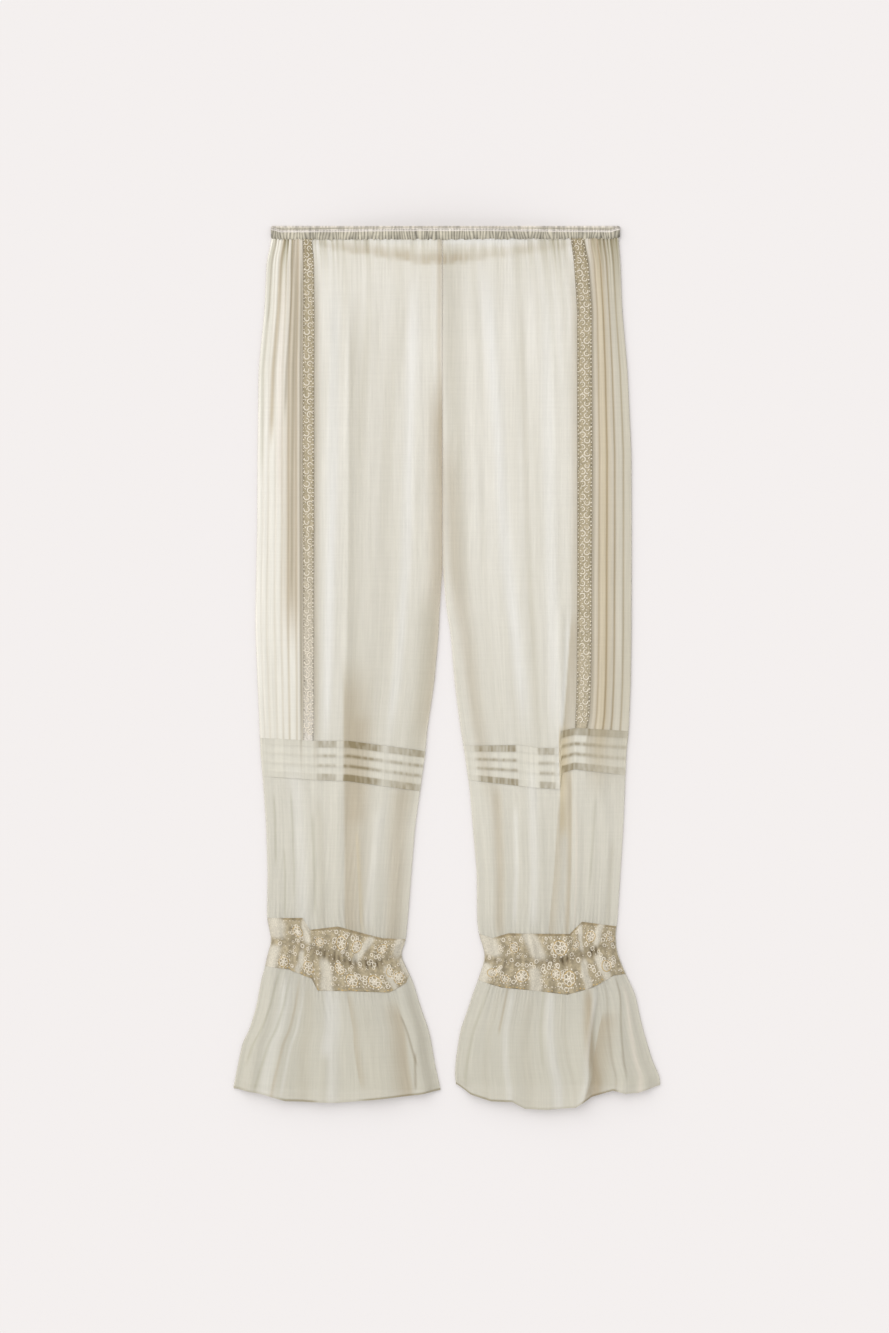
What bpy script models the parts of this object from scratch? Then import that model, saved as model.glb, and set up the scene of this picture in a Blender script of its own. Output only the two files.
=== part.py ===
"""Sheer ankle-length trousers, laid flat on their back: one solid for each sewn piece.

The garment lies on the plane z = 0 with its waist toward +Y and its front facing +Z. Left and
right are as seen from the front, with +X to the right. Places on the cloth are given by two
numbers: down, the distance below the back rim of the waist, and across, which runs from 0 at a
leg's outer fold to 1 at its inner edge. Sizes are in millimetres up to place_point().
"""

import math
from typing import Callable, NamedTuple, Sequence

import bmesh
import bpy
from mathutils import Vector

MM = 0.001

# Overall sizes
TOTAL_LENGTH = 1002.0
LEFT_FRILL_TIP = -241.0
RIGHT_FRILL_TIP = 244.6

# Cloth
WALL = 1.0
FOLD_RADIUS = 1.3
SEAM_GAP = 0.5
LAY_GAP = 0.3
ARC_STEPS = 3

# Waistband: a gathered elastic ring whose front stands up in a low arch
WAIST_LEFT = -197.5
WAIST_RIGHT = 198.6
BAND_WALL = 1.8
BAND_RADIUS = 2.1
BAND_GATHERS = 108
GATHER_DEPTH = 0.8
ARCH_HEIGHT = 17.0
ARCH_FADE = 120.0
BACK_RIM = 0.0
BACK_BAND_BOTTOM = 12.0
FRONT_RIM = 5.0

# Pintucks on each side panel: height, and the shares of a tuck's width where it has risen and
# where it begins to fall
TUCK_HEIGHT = 1.5
TUCK_RISE = 0.24
TUCK_FALL = 0.80

# The inseam's edges lean toward each other, and the knee band stands in tucks
INSEAM_DIP = 0.15
KNEE_TUCK = 0.6

# Across places of the lace strip that covers the seam of front and side
LACE_OUTER = 0.256
LACE_MIDDLE = 0.288
LACE_INNER = 0.320


class PanelRow(NamedTuple):
    """Outline of a leg above the knee: places across at one level."""

    down: float
    outer: float
    lace_outer: float
    lace_inner: float
    inner: float


class TubeRow(NamedTuple):
    """Outline of a leg below the knee."""

    down: float
    outer: float
    inner: float


class Knot(NamedTuple):
    """One point of a line that runs across a leg."""

    across: float
    down: float


class Fold(NamedTuple):
    """A soft ridge that runs down the front of a leg."""

    across_top: float
    across_bottom: float
    down_top: float
    down_bottom: float
    half_width: float
    height: float


class Wave(NamedTuple):
    """A crest or a hollow of a frill, with its height at the hem."""

    across_top: float
    across_hem: float
    height: float


class Leg(NamedTuple):
    """Everything that differs between the two legs."""

    name: str
    outward: float
    panel: Sequence[PanelRow]
    tube: Sequence[TubeRow]
    knee_top: Sequence[Knot]
    knee_bottom: Sequence[Knot]
    cuff_top: Sequence[Knot]
    gather: Sequence[Knot]
    lace_bottom: Sequence[Knot]
    hem: Sequence[Knot]
    folds: Sequence[Fold]
    waves: Sequence[Wave]
    tuck_valleys: Sequence[float]


class Spot(NamedTuple):
    """A place round a leg. turn is 0 on the front, 1 on the back, and between them on a fold."""

    across: float
    turn: float


LEFT = Leg(
    name="left",
    outward=-1.0,
    panel=(
        PanelRow(15.0, -196.6, -161.2, -151.0, -3.2),
        PanelRow(41.0, -202.6, -160.6, -148.7, -3.2),
        PanelRow(95.0, -204.9, -161.0, -148.1, -3.2),
        PanelRow(163.0, -211.7, -161.6, -148.4, -3.2),
        PanelRow(259.0, -212.8, -161.7, -148.4, -3.2),
        PanelRow(340.0, -213.2, -161.5, -148.4, -3.2),
        PanelRow(388.0, -214.4, -161.2, -148.6, -3.2),
        PanelRow(436.0, -215.1, -161.1, -148.7, -6.0),
        PanelRow(463.0, -215.1, -161.0, -148.7, -7.0),
        PanelRow(518.0, -212.8, -160.8, -148.7, -11.9),
        PanelRow(572.0, -210.5, -160.8, -148.6, -19.9),
    ),
    tube=(
        TubeRow(599.0, -209.4, -22.1),
        TubeRow(640.0, -206.0, -27.8),
        TubeRow(681.0, -203.2, -33.5),
        TubeRow(735.0, -201.5, -38.0),
        TubeRow(785.0, -202.2, -41.8),
        TubeRow(811.0, -196.9, -44.3),
        TubeRow(827.0, -201.5, -50.3),
        TubeRow(840.0, -204.3, -44.5),
        TubeRow(858.0, -209.4, -35.8),
        TubeRow(885.0, -214.0, -27.8),
        TubeRow(913.0, -222.5, -18.0),
        TubeRow(926.0, -229.8, -15.3),
        TubeRow(953.0, -235.5, -10.8),
        TubeRow(981.0, -241.0, -4.5),
    ),
    knee_top=(Knot(0.0, 581.0), Knot(0.344, 584.5), Knot(0.536, 584.5), Knot(1.0, 595.9)),
    knee_bottom=(Knot(0.0, 624.3), Knot(0.344, 628.8), Knot(0.536, 629.9), Knot(1.0, 641.3)),
    cuff_top=(
        Knot(0.0, 785.4),
        Knot(6 / 24, 784.9),
        Knot(7 / 24, 798.5),
        Knot(12 / 24, 794.5),
        Knot(17 / 24, 803.4),
        Knot(20 / 24, 808.1),
        Knot(1.0, 809.3),
    ),
    gather=(
        Knot(0.0, 811.5),
        Knot(4 / 24, 811.5),
        Knot(6 / 24, 817.6),
        Knot(10 / 24, 825.2),
        Knot(15 / 24, 836.2),
        Knot(19 / 24, 837.1),
        Knot(1.0, 827.4),
    ),
    lace_bottom=(
        Knot(0.0, 839.9),
        Knot(4 / 24, 843.0),
        Knot(8 / 24, 853.5),
        Knot(9 / 24, 867.1),
        Knot(15 / 24, 868.0),
        Knot(20 / 24, 869.4),
        Knot(23 / 24, 858.7),
        Knot(1.0, 850.0),
    ),
    hem=(
        Knot(0.0, 978.4),
        Knot(6 / 48, 984.0),
        Knot(12 / 48, 992.2),
        Knot(24 / 48, 994.3),
        Knot(32 / 48, 991.0),
        Knot(43 / 48, 985.2),
        Knot(1.0, 980.6),
    ),
    folds=(
        Fold(0.410, 0.410, 35.0, 590.0, 0.050, 1.5),
        Fold(0.500, 0.505, 25.0, 590.0, 0.034, 2.4),
        Fold(0.615, 0.630, 30.0, 560.0, 0.060, 1.4),
        Fold(0.770, 0.790, 80.0, 570.0, 0.060, 1.5),
        Fold(0.860, 0.880, 60.0, 390.0, 0.045, 1.8),
        Fold(0.945, 0.960, 190.0, 440.0, 0.040, 1.4),
        Fold(0.160, 0.160, 640.0, 800.0, 0.050, 2.0),
        Fold(0.285, 0.290, 630.0, 800.0, 0.050, 2.6),
        Fold(0.370, 0.375, 650.0, 810.0, 0.045, 2.2),
        Fold(0.480, 0.500, 625.0, 810.0, 0.060, 3.0),
        Fold(0.610, 0.660, 640.0, 815.0, 0.060, 2.8),
        Fold(0.740, 0.780, 650.0, 815.0, 0.060, 3.0),
        Fold(0.880, 0.910, 650.0, 815.0, 0.055, 2.6),
    ),
    waves=(
        Wave(0.000, 0.000, 0.0),
        Wave(0.050, 0.060, 8.0),
        Wave(0.100, 0.130, 5.5),
        Wave(0.160, 0.220, 9.0),
        Wave(0.230, 0.310, 6.0),
        Wave(0.360, 0.430, 10.0),
        Wave(0.520, 0.550, 6.6),
        Wave(0.660, 0.720, 11.0),
        Wave(0.850, 0.865, 5.0),
        Wave(0.930, 0.930, 8.5),
        Wave(1.000, 1.000, 0.0),
    ),
    tuck_valleys=(0.0, 0.026, 0.057, 0.100, 0.137, 0.174, 0.219, LACE_OUTER),
)

RIGHT = Leg(
    name="right",
    outward=1.0,
    panel=(
        PanelRow(15.0, 197.2, 157.0, 142.5, -2.8),
        PanelRow(41.0, 199.2, 162.5, 146.0, -2.8),
        PanelRow(95.0, 201.2, 166.8, 149.8, -2.8),
        PanelRow(163.0, 207.2, 166.8, 149.8, -2.8),
        PanelRow(259.0, 211.7, 167.3, 150.0, -2.8),
        PanelRow(340.0, 211.9, 166.9, 150.0, -2.8),
        PanelRow(388.0, 211.9, 166.6, 150.0, -2.8),
        PanelRow(436.0, 211.7, 166.4, 149.8, 1.7),
        PanelRow(463.0, 211.7, 166.3, 149.7, 6.2),
        PanelRow(518.0, 210.9, 165.6, 149.3, 10.6),
        PanelRow(572.0, 208.7, 163.4, 147.5, 17.6),
    ),
    tube=(
        TubeRow(599.0, 206.0, 22.1),
        TubeRow(640.0, 204.3, 27.8),
        TubeRow(681.0, 202.6, 31.2),
        TubeRow(735.0, 199.2, 35.8),
        TubeRow(790.0, 195.8, 36.3),
        TubeRow(803.0, 193.6, 38.0),
        TubeRow(822.0, 195.0, 44.3),
        TubeRow(833.0, 198.6, 44.8),
        TubeRow(849.0, 205.4, 39.7),
        TubeRow(872.0, 216.2, 31.2),
        TubeRow(899.0, 221.9, 22.1),
        TubeRow(913.0, 225.3, 17.0),
        TubeRow(947.0, 235.5, 11.9),
        TubeRow(967.0, 244.6, 10.8),
        TubeRow(975.0, 244.0, 13.0),
    ),
    knee_top=(
        Knot(0.0, 573.2),
        Knot(0.320, 569.8),
        Knot(0.385, 573.2),
        Knot(0.440, 592.5),
        Knot(0.543, 592.5),
        Knot(0.673, 589.1),
        Knot(1.0, 590.0),
    ),
    knee_bottom=(
        Knot(0.0, 623.1),
        Knot(0.320, 616.5),
        Knot(0.385, 620.8),
        Knot(0.440, 639.0),
        Knot(0.543, 637.9),
        Knot(0.673, 635.6),
        Knot(1.0, 628.8),
    ),
    cuff_top=(
        Knot(0.0, 794.5),
        Knot(6 / 24, 789.2),
        Knot(8 / 24, 803.1),
        Knot(19 / 24, 802.4),
        Knot(22 / 24, 808.1),
        Knot(1.0, 803.6),
    ),
    gather=(
        Knot(0.0, 821.0),
        Knot(3 / 24, 818.3),
        Knot(5 / 24, 825.2),
        Knot(7 / 24, 825.7),
        Knot(10 / 24, 833.1),
        Knot(15 / 24, 836.2),
        Knot(1.0, 832.7),
    ),
    lace_bottom=(
        Knot(0.0, 849.0),
        Knot(2 / 24, 850.0),
        Knot(6 / 24, 863.7),
        Knot(10 / 24, 871.7),
        Knot(15 / 24, 867.1),
        Knot(20 / 24, 863.7),
        Knot(1.0, 855.8),
    ),
    hem=(
        Knot(0.0, 975.0),
        Knot(5 / 48, 982.9),
        Knot(8 / 48, 984.0),
        Knot(11 / 48, 980.6),
        Knot(16 / 48, 987.5),
        Knot(20 / 48, 999.6),
        Knot(27 / 48, 1002.0),
        Knot(32 / 48, 1001.0),
        Knot(35 / 48, 993.1),
        Knot(40 / 48, 992.6),
        Knot(45 / 48, 984.5),
        Knot(1.0, 974.0),
    ),
    folds=(
        Fold(0.405, 0.412, 420.0, 600.0, 0.032, 3.0),
        Fold(0.430, 0.445, 80.0, 560.0, 0.040, 1.6),
        Fold(0.530, 0.520, 80.0, 590.0, 0.050, 1.5),
        Fold(0.640, 0.620, 60.0, 560.0, 0.055, 1.2),
        Fold(0.750, 0.700, 40.0, 560.0, 0.060, 1.7),
        Fold(0.850, 0.830, 40.0, 400.0, 0.045, 1.6),
        Fold(0.930, 0.920, 190.0, 440.0, 0.045, 1.5),
        Fold(0.110, 0.100, 640.0, 800.0, 0.050, 2.2),
        Fold(0.215, 0.200, 640.0, 800.0, 0.050, 2.2),
        Fold(0.310, 0.290, 640.0, 800.0, 0.045, 2.6),
        Fold(0.420, 0.430, 625.0, 810.0, 0.050, 3.4),
        Fold(0.560, 0.555, 650.0, 810.0, 0.060, 2.8),
        Fold(0.690, 0.690, 650.0, 815.0, 0.055, 2.4),
        Fold(0.800, 0.790, 650.0, 815.0, 0.050, 2.4),
        Fold(0.910, 0.900, 660.0, 815.0, 0.050, 2.2),
    ),
    waves=(
        Wave(0.000, 0.000, 0.0),
        Wave(0.040, 0.060, 7.5),
        Wave(0.060, 0.115, 5.0),
        Wave(0.085, 0.180, 9.5),
        Wave(0.140, 0.235, 4.5),
        Wave(0.205, 0.335, 4.0),
        Wave(0.240, 0.380, 12.5),
        Wave(0.400, 0.470, 7.5),
        Wave(0.500, 0.560, 10.0),
        Wave(0.620, 0.645, 6.8),
        Wave(0.740, 0.740, 10.0),
        Wave(0.860, 0.840, 6.5),
        Wave(0.940, 0.930, 8.5),
        Wave(1.000, 1.000, 0.0),
    ),
    tuck_valleys=(0.0, 0.048, 0.106, 0.158, 0.209, LACE_OUTER),
)

LEGS = (LEFT, RIGHT)

# The front waistband's lower edge, by place across the whole waist
BAND_FRONT_BOTTOM = (Knot(0.0, 14.8), Knot(0.5, 17.0), Knot(1.0, 13.6))

# Levels of the panels' rows, as shares of the way from the waist seam to the knee band
PANEL_ROWS = (0.0, 0.045, 0.09, 0.14, 0.20, 0.26, 0.34, 0.43, 0.57, 0.655, 0.78, 0.88, 1.0)


class KneeRow(NamedTuple):
    """A level of the knee band: its share of the band's height, and how far a tuck stands there."""

    share: float
    tuck: float


KNEE_ROWS = (
    KneeRow(0.00, 1.0),
    KneeRow(0.16, 1.0),
    KneeRow(0.21, 0.0),
    KneeRow(0.33, 0.0),
    KneeRow(0.375, 0.9),
    KneeRow(0.42, 0.0),
    KneeRow(0.58, 0.0),
    KneeRow(0.625, 0.9),
    KneeRow(0.67, 0.0),
    KneeRow(0.80, 0.0),
    KneeRow(0.85, 1.0),
    KneeRow(1.00, 1.0),
)


class CuffRow(NamedTuple):
    """A level of the lace cuff: 0 at its top seam, 1 at the elastic line, 2 at its lower edge."""

    level: float
    height: float
    gather_depth: float


CUFF_ROWS = (
    CuffRow(0.0, 4.6, 1.2),
    CuffRow(0.35, 7.4, 2.0),
    CuffRow(0.75, 7.0, 2.2),
    CuffRow(1.0, 4.8, 1.5),
    CuffRow(1.25, 6.8, 2.2),
    CuffRow(1.6, 8.0, 2.4),
    CuffRow(2.0, 6.6, 1.8),
)
CUFF_GATHERS = 12
LOWER_LEG_PUFF = 3.6
FRILL_ROWS = (0.0, 0.12, 0.28, 0.46, 0.66, 0.86, 1.0)
FRILL_TOP_HEIGHT = 6.4


def mix(start: float, end: float, share: float) -> float:
    """Return the value at a share of the way from start to end."""
    return start + (end - start) * share


def along(points: Sequence[tuple[float, float]], place: float) -> float:
    """Read a value off a line of (place, value) points, level beyond both ends."""
    if place <= points[0][0]:
        return points[0][1]
    for (start, low), (end, high) in zip(points, points[1:]):
        if place <= end:
            return mix(low, high, (place - start) / (end - start))
    return points[-1][1]


def swell(distance: float, reach: float) -> float:
    """Return a soft bump: 1 at no distance, 0 at reach and beyond."""
    share = min(1.0, abs(distance) / reach)
    return math.cos(share * math.pi / 2) ** 2


def rise(share: float) -> float:
    """Ease from 0 to 1 over a share from 0 to 1."""
    share = min(1.0, max(0.0, share))
    return share * share * (3.0 - 2.0 * share)


def outline(leg: Leg, column: str, down: float) -> float:
    """Return where an edge of a leg lies across, at a level."""
    rows: list = list(leg.panel)
    if column in ("outer", "inner"):
        rows += leg.tube
    return along([(row.down, getattr(row, column)) for row in rows], down)


def leg_x(leg: Leg, across: float, down: float) -> float:
    """Return the x of a place on a leg, between the beginnings of its two folds."""
    outer = outline(leg, "outer", down) - leg.outward * FOLD_RADIUS
    inner = outline(leg, "inner", down) + leg.outward * FOLD_RADIUS
    if down > leg.panel[-1].down:
        return mix(outer, inner, across)
    lace_outer = outline(leg, "lace_outer", down)
    lace_inner = outline(leg, "lace_inner", down)
    places = (
        (0.0, outer),
        (LACE_OUTER, lace_outer),
        (LACE_INNER, lace_inner),
        (1.0, inner),
    )
    return along(places, across)


def waist_share(x: float) -> float:
    """Return how far across the whole waist an x lies, from 0 to 1."""
    return (x - WAIST_LEFT) / (WAIST_RIGHT - WAIST_LEFT)


def arch(x: float, down: float) -> float:
    """Return how far the front is lifted toward the waist's arch."""
    share = min(1.0, max(0.0, waist_share(x)))
    fade = 1.0 - rise((down - BAND_FRONT_BOTTOM[1].down) / ARCH_FADE)
    return ARCH_HEIGHT * math.sin(share * math.pi) ** 2 * fade


def folds(leg: Leg, across: float, down: float) -> float:
    """Add up the soft folds at a place on the front of a leg."""
    total = 0.0
    for fold in leg.folds:
        share = (down - fold.down_top) / (fold.down_bottom - fold.down_top)
        if not 0.0 < share < 1.0:
            continue
        centre = mix(fold.across_top, fold.across_bottom, share)
        ends = min(1.0, 8.0 * share, 8.0 * (1.0 - share))
        total += fold.height * ends * swell(across - centre, fold.half_width)
    return total


def band_line(leg: Leg, across: float, turn: float) -> float:
    """Return the level of the waist seam under the band."""
    share = waist_share(leg_x(leg, across, BAND_FRONT_BOTTOM[1].down))
    return mix(along(BAND_FRONT_BOTTOM, share), BACK_BAND_BOTTOM, turn)


def leg_line(line: Sequence[Knot], across: float, turn: float) -> float:
    """Return the level of a line round a leg, which runs straight over the back."""
    straight = mix(line[0].down, line[-1].down, across)
    return mix(along(line, across), straight, turn)


def place_point(x: float, down: float, height: float) -> Vector:
    """Turn a place in millimetres into a point, with the origin under the garment's middle."""
    middle = (LEFT_FRILL_TIP + RIGHT_FRILL_TIP) / 2
    return Vector((x - middle, TOTAL_LENGTH / 2 - down, height)) * MM


def fold_point(leg: Leg, spot: Spot, down: float, relief: float) -> Vector:
    """Return the point of a flattened leg's outer face at a spot."""
    x = leg_x(leg, spot.across, down)
    if 0.0 < spot.turn < 1.0:
        side = leg.outward if spot.across < 0.5 else -leg.outward
        x += side * FOLD_RADIUS * math.sin(spot.turn * math.pi)
    height = FOLD_RADIUS * (1.0 + math.cos(spot.turn * math.pi))
    return place_point(x, down, height + (relief if spot.turn == 0.0 else 0.0))


def front_relief(leg: Leg, across: float, down: float) -> float:
    """Return how high the front of a leg stands over its flat state above the knee."""
    return arch(leg_x(leg, across, down), down) + folds(leg, across, down)


def tuck_line(leg: Leg) -> list[tuple[float, float]]:
    """Return the section of a side's pintucks, as (across, height) points from the outer fold."""
    points = [(0.0, 0.0)]
    for start, end in zip(leg.tuck_valleys, leg.tuck_valleys[1:]):
        points.append((mix(start, end, TUCK_RISE), TUCK_HEIGHT))
        points.append((mix(start, end, TUCK_FALL), TUCK_HEIGHT))
        points.append((end, 0.0))
    return points


def between(lines: Sequence[float], level: float) -> float:
    """Return the place at a level, where 0 is the first line, 1 the next and so on."""
    index = min(int(level), len(lines) - 2)
    return mix(lines[index], lines[index + 1], level - index)


def merged(*groups: Sequence[float]) -> list[float]:
    """Join several lists of places into one sorted list without near repeats."""
    places: list[float] = []
    for place in sorted(place for group in groups for place in group):
        if not places or place - places[-1] > 0.004:
            places.append(place)
    return places


def evenly(start: float, end: float, steps: int) -> list[float]:
    """Return evenly spaced places from start to end."""
    return [mix(start, end, step / steps) for step in range(steps + 1)]


def knots(*lines: Sequence[Knot]) -> list[float]:
    """Return the places across of the points of lines."""
    return [knot.across for line in lines for knot in line]


def ring(front: Sequence[float], back_steps: int) -> list[Spot]:
    """Return the spots round a flattened tube, over the front and home along the back."""
    turns = evenly(0.0, 1.0, ARC_STEPS)[1:-1]
    spots = [Spot(across, 0.0) for across in front]
    spots += [Spot(1.0, turn) for turn in turns]
    spots += [Spot(1.0 - place, 1.0) for place in evenly(0.0, 1.0, back_steps)]
    spots += [Spot(0.0, 1.0 - turn) for turn in turns]
    return spots + [spots[0]]


def principled(name: str, hex_colour: str, roughness: float) -> bpy.types.Material:
    """Make a plain cloth material from an sRGB colour."""
    material = bpy.data.materials.new(name)
    material.use_nodes = True
    shader = material.node_tree.nodes["Principled BSDF"]
    channels = [int(hex_colour[place : place + 2], 16) / 255 for place in (0, 2, 4)]
    linear = [((c + 0.055) / 1.055) ** 2.4 if c > 0.04045 else c / 12.92 for c in channels]
    shader.inputs["Base Color"].default_value = (*linear, 1.0)
    shader.inputs["Roughness"].default_value = roughness
    shader.inputs["Metallic"].default_value = 0.0
    material.diffuse_color = (*linear, 1.0)
    return material


def cloth(
    name: str,
    spots: Sequence,
    rows: Sequence,
    place: Callable,
    material: bpy.types.Material,
    faces_up: bool,
    wall: float = WALL,
) -> bpy.types.Object:
    """Make one piece of cloth from a grid whose points are moved to place(spot, row).

    The grid is the piece's outer face, and a Solidify modifier gives it its wall on the inside.
    """
    bm = bmesh.new()
    across_steps = len(spots) - 1
    down_steps = len(rows) - 1
    bmesh.ops.create_grid(bm, x_segments=across_steps, y_segments=down_steps, size=0.5)
    for vert in bm.verts:
        spot = spots[round((vert.co.x + 0.5) * across_steps)]
        row = rows[round((vert.co.y + 0.5) * down_steps)]
        vert.co = place(spot, row)
    bmesh.ops.remove_doubles(bm, verts=bm.verts, dist=MM * 0.01)
    if not faces_up:
        bmesh.ops.reverse_faces(bm, faces=bm.faces)
    mesh = bpy.data.meshes.new(name)
    bm.to_mesh(mesh)
    bm.free()
    mesh.materials.append(material)
    piece = bpy.data.objects.new(name, mesh)
    solidify = piece.modifiers.new("Wall", "SOLIDIFY")
    solidify.thickness = wall * MM
    solidify.offset = -1.0
    return piece


def make_waistband(material: bpy.types.Material) -> bpy.types.Object:
    """Make the elastic ring at the waist, with the gathers of its front."""
    front = evenly(0.0, 1.0, 2 * BAND_GATHERS)
    middle_level = mix(BACK_RIM, FRONT_RIM, 0.5)

    def place(spot: Spot, row: float) -> Vector:
        left = WAIST_LEFT + BAND_RADIUS
        right = WAIST_RIGHT - BAND_RADIUS
        x = mix(left, right, spot.across)
        top = mix(FRONT_RIM, BACK_RIM, spot.turn)
        bottom = mix(along(BAND_FRONT_BOTTOM, spot.across), BACK_BAND_BOTTOM, spot.turn)
        if spot.across in (0.0, 1.0):
            top = mix(middle_level, BACK_RIM, spot.turn)
        height = BAND_RADIUS * (1.0 + math.cos(spot.turn * math.pi))
        if spot.turn == 0.0:
            crest = round(spot.across * 2 * BAND_GATHERS) % 2
            height += arch(x, 0.0) + crest * GATHER_DEPTH
        elif spot.turn < 1.0:
            side = 1.0 if spot.across > 0.5 else -1.0
            x += side * BAND_RADIUS * math.sin(spot.turn * math.pi)
        return place_point(x, mix(top, bottom - SEAM_GAP / 2, row), height)

    return cloth(
        "waistband", ring(front, 10), (0.0, 0.5, 1.0), place, material, False, BAND_WALL
    )


def panel_place(leg: Leg, raised: Callable, lift: float) -> Callable:
    """Return the place function of a piece between the waist seam and the knee band."""

    def place(spot: Spot, row: float) -> Vector:
        top = band_line(leg, spot.across, spot.turn) + SEAM_GAP / 2
        bottom = leg_line(leg.knee_top, spot.across, spot.turn) - SEAM_GAP / 2
        down = mix(top, bottom, row)
        relief = raised(spot.across, down) + lift
        return fold_point(leg, spot, down, relief)

    return place


def seam_place(leg: Leg, spot: Spot, row: float) -> Vector:
    """Place a front or back panel. A turn between 0 and 1 is the edge that meets the other."""
    front = spot.turn < 0.5
    side_turn = 0.0 if front else 1.0
    top = band_line(leg, spot.across, side_turn) + SEAM_GAP / 2
    bottom = leg_line(leg.knee_top, spot.across, side_turn) - SEAM_GAP / 2
    down = mix(top, bottom, row)
    height = 2 * FOLD_RADIUS + front_relief(leg, spot.across, down) if front else 0.0
    x = leg_x(leg, spot.across, down)
    if spot.turn != side_turn:
        x -= leg.outward * FOLD_RADIUS
        height += -INSEAM_DIP if front else INSEAM_DIP
    return place_point(x, down, height)


def make_front(leg: Leg, material: bpy.types.Material) -> bpy.types.Object:
    """Make the plain front panel, from under the lace to the centre seam and the inseam."""
    places = merged(
        [LACE_MIDDLE, LACE_INNER],
        [knot.across for knot in leg.knee_top if knot.across > LACE_INNER],
        [fold.across_top for fold in leg.folds if fold.down_bottom < 600.0],
        evenly(0.375, 1.0, 11),
    )
    start = Spot(LACE_MIDDLE + 0.001, 0.0)
    spots = [start] + [Spot(across, 0.0) for across in places[1:]]
    spots += [Spot(1.0, 0.4)]
    return cloth(
        f"front_{leg.name}",
        spots,
        PANEL_ROWS,
        lambda spot, row: seam_place(leg, spot, row),
        material,
        leg.outward > 0,
    )


def make_back(leg: Leg, material: bpy.types.Material) -> bpy.types.Object:
    """Make the plain back panel, which rests flat."""
    spots = [Spot(across, 1.0) for across in (LACE_MIDDLE + 0.001, 0.5, 0.75, 1.0)]
    spots += [Spot(1.0, 0.6)]
    return cloth(
        f"back_{leg.name}",
        spots,
        PANEL_ROWS,
        lambda spot, row: seam_place(leg, spot, row),
        material,
        leg.outward < 0,
    )


def make_side(leg: Leg, material: bpy.types.Material) -> bpy.types.Object:
    """Make the pintucked side panel, which wraps round the outer fold to the back."""
    tucks = tuck_line(leg)
    spots = [Spot(LACE_MIDDLE - 0.001, 0.0)]
    spots += [Spot(across, 0.0) for across, _ in reversed(tucks)]
    spots += [Spot(0.0, turn) for turn in evenly(0.0, 1.0, ARC_STEPS)[1:]]
    spots += [Spot(0.14, 1.0), Spot(LACE_MIDDLE - 0.001, 1.0)]
    place = panel_place(
        leg, lambda across, down: front_relief(leg, across, down) + along(tucks, across), 0.0
    )
    return cloth(
        f"side_{leg.name}", spots, PANEL_ROWS, place, material, leg.outward < 0
    )


def make_lace(leg: Leg, material: bpy.types.Material) -> bpy.types.Object:
    """Make the lace strip over the seam, from the panels' points moved out."""
    spots = [Spot(across, 0.0) for across in (LACE_OUTER, LACE_MIDDLE, LACE_INNER)]
    place = panel_place(
        leg, lambda across, down: front_relief(leg, across, down), LAY_GAP + WALL
    )
    return cloth(
        f"lace_{leg.name}", spots, PANEL_ROWS, place, material, leg.outward > 0
    )


def tube_place(leg: Leg, lines: Sequence[Sequence[Knot]], relief: Callable) -> Callable:
    """Return the place function of a tube that fills the space between lines round a leg."""

    def place(spot: Spot, row: float) -> Vector:
        levels = [leg_line(line, spot.across, spot.turn) for line in lines]
        levels[0] += SEAM_GAP / 2
        levels[-1] -= SEAM_GAP / 2
        down = between(levels, row)
        edge = min(1.0, 12.0 * spot.across, 12.0 * (1.0 - spot.across))
        return fold_point(leg, spot, down, relief(spot.across, row, down) * rise(edge))

    return place


def make_knee_band(leg: Leg, material: bpy.types.Material) -> bpy.types.Object:
    """Make the band of horizontal tucks at the knee."""

    def relief(across: float, row: float, down: float) -> float:
        tucked = along(KNEE_ROWS, row) * KNEE_TUCK
        return tucked + folds(leg, across, down)

    front = merged(knots(leg.knee_top, leg.knee_bottom), evenly(0.0, 1.0, 10))
    place = tube_place(leg, (leg.knee_top, leg.knee_bottom), relief)
    rows = [row.share for row in KNEE_ROWS]
    return cloth(
        f"knee_band_{leg.name}", ring(front, 2), rows, place, material, leg.outward > 0
    )


def make_lower_leg(leg: Leg, material: bpy.types.Material) -> bpy.types.Object:
    """Make the leg below the knee, which puffs a little over the cuff."""

    def relief(across: float, row: float, down: float) -> float:
        puff = LOWER_LEG_PUFF * row * math.sin(across * math.pi)
        return puff + folds(leg, across, down)

    front = merged(
        knots(leg.knee_bottom, leg.cuff_top),
        [fold.across_bottom for fold in leg.folds if fold.down_bottom > 600.0],
        evenly(0.0, 1.0, 15),
    )
    place = tube_place(leg, (leg.knee_bottom, leg.cuff_top), relief)
    rows = evenly(0.0, 1.0, 5)
    return cloth(
        f"lower_leg_{leg.name}", ring(front, 2), rows, place, material, leg.outward > 0
    )


def make_cuff(leg: Leg, material: bpy.types.Material) -> bpy.types.Object:
    """Make the lace cuff, drawn in along its elastic line."""
    heights = [(row.level, row.height) for row in CUFF_ROWS]
    depths = [(row.level, row.gather_depth) for row in CUFF_ROWS]

    def relief(across: float, row: float, down: float) -> float:
        crest = round(across * 2 * CUFF_GATHERS) % 2
        return along(heights, row) + crest * along(depths, row)

    lines = (leg.cuff_top, leg.gather, leg.lace_bottom)
    front = evenly(0.0, 1.0, 2 * CUFF_GATHERS)
    place = tube_place(leg, lines, relief)
    rows = [row.level for row in CUFF_ROWS]
    return cloth(f"cuff_{leg.name}", ring(front, 3), rows, place, material, leg.outward > 0)


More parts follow.
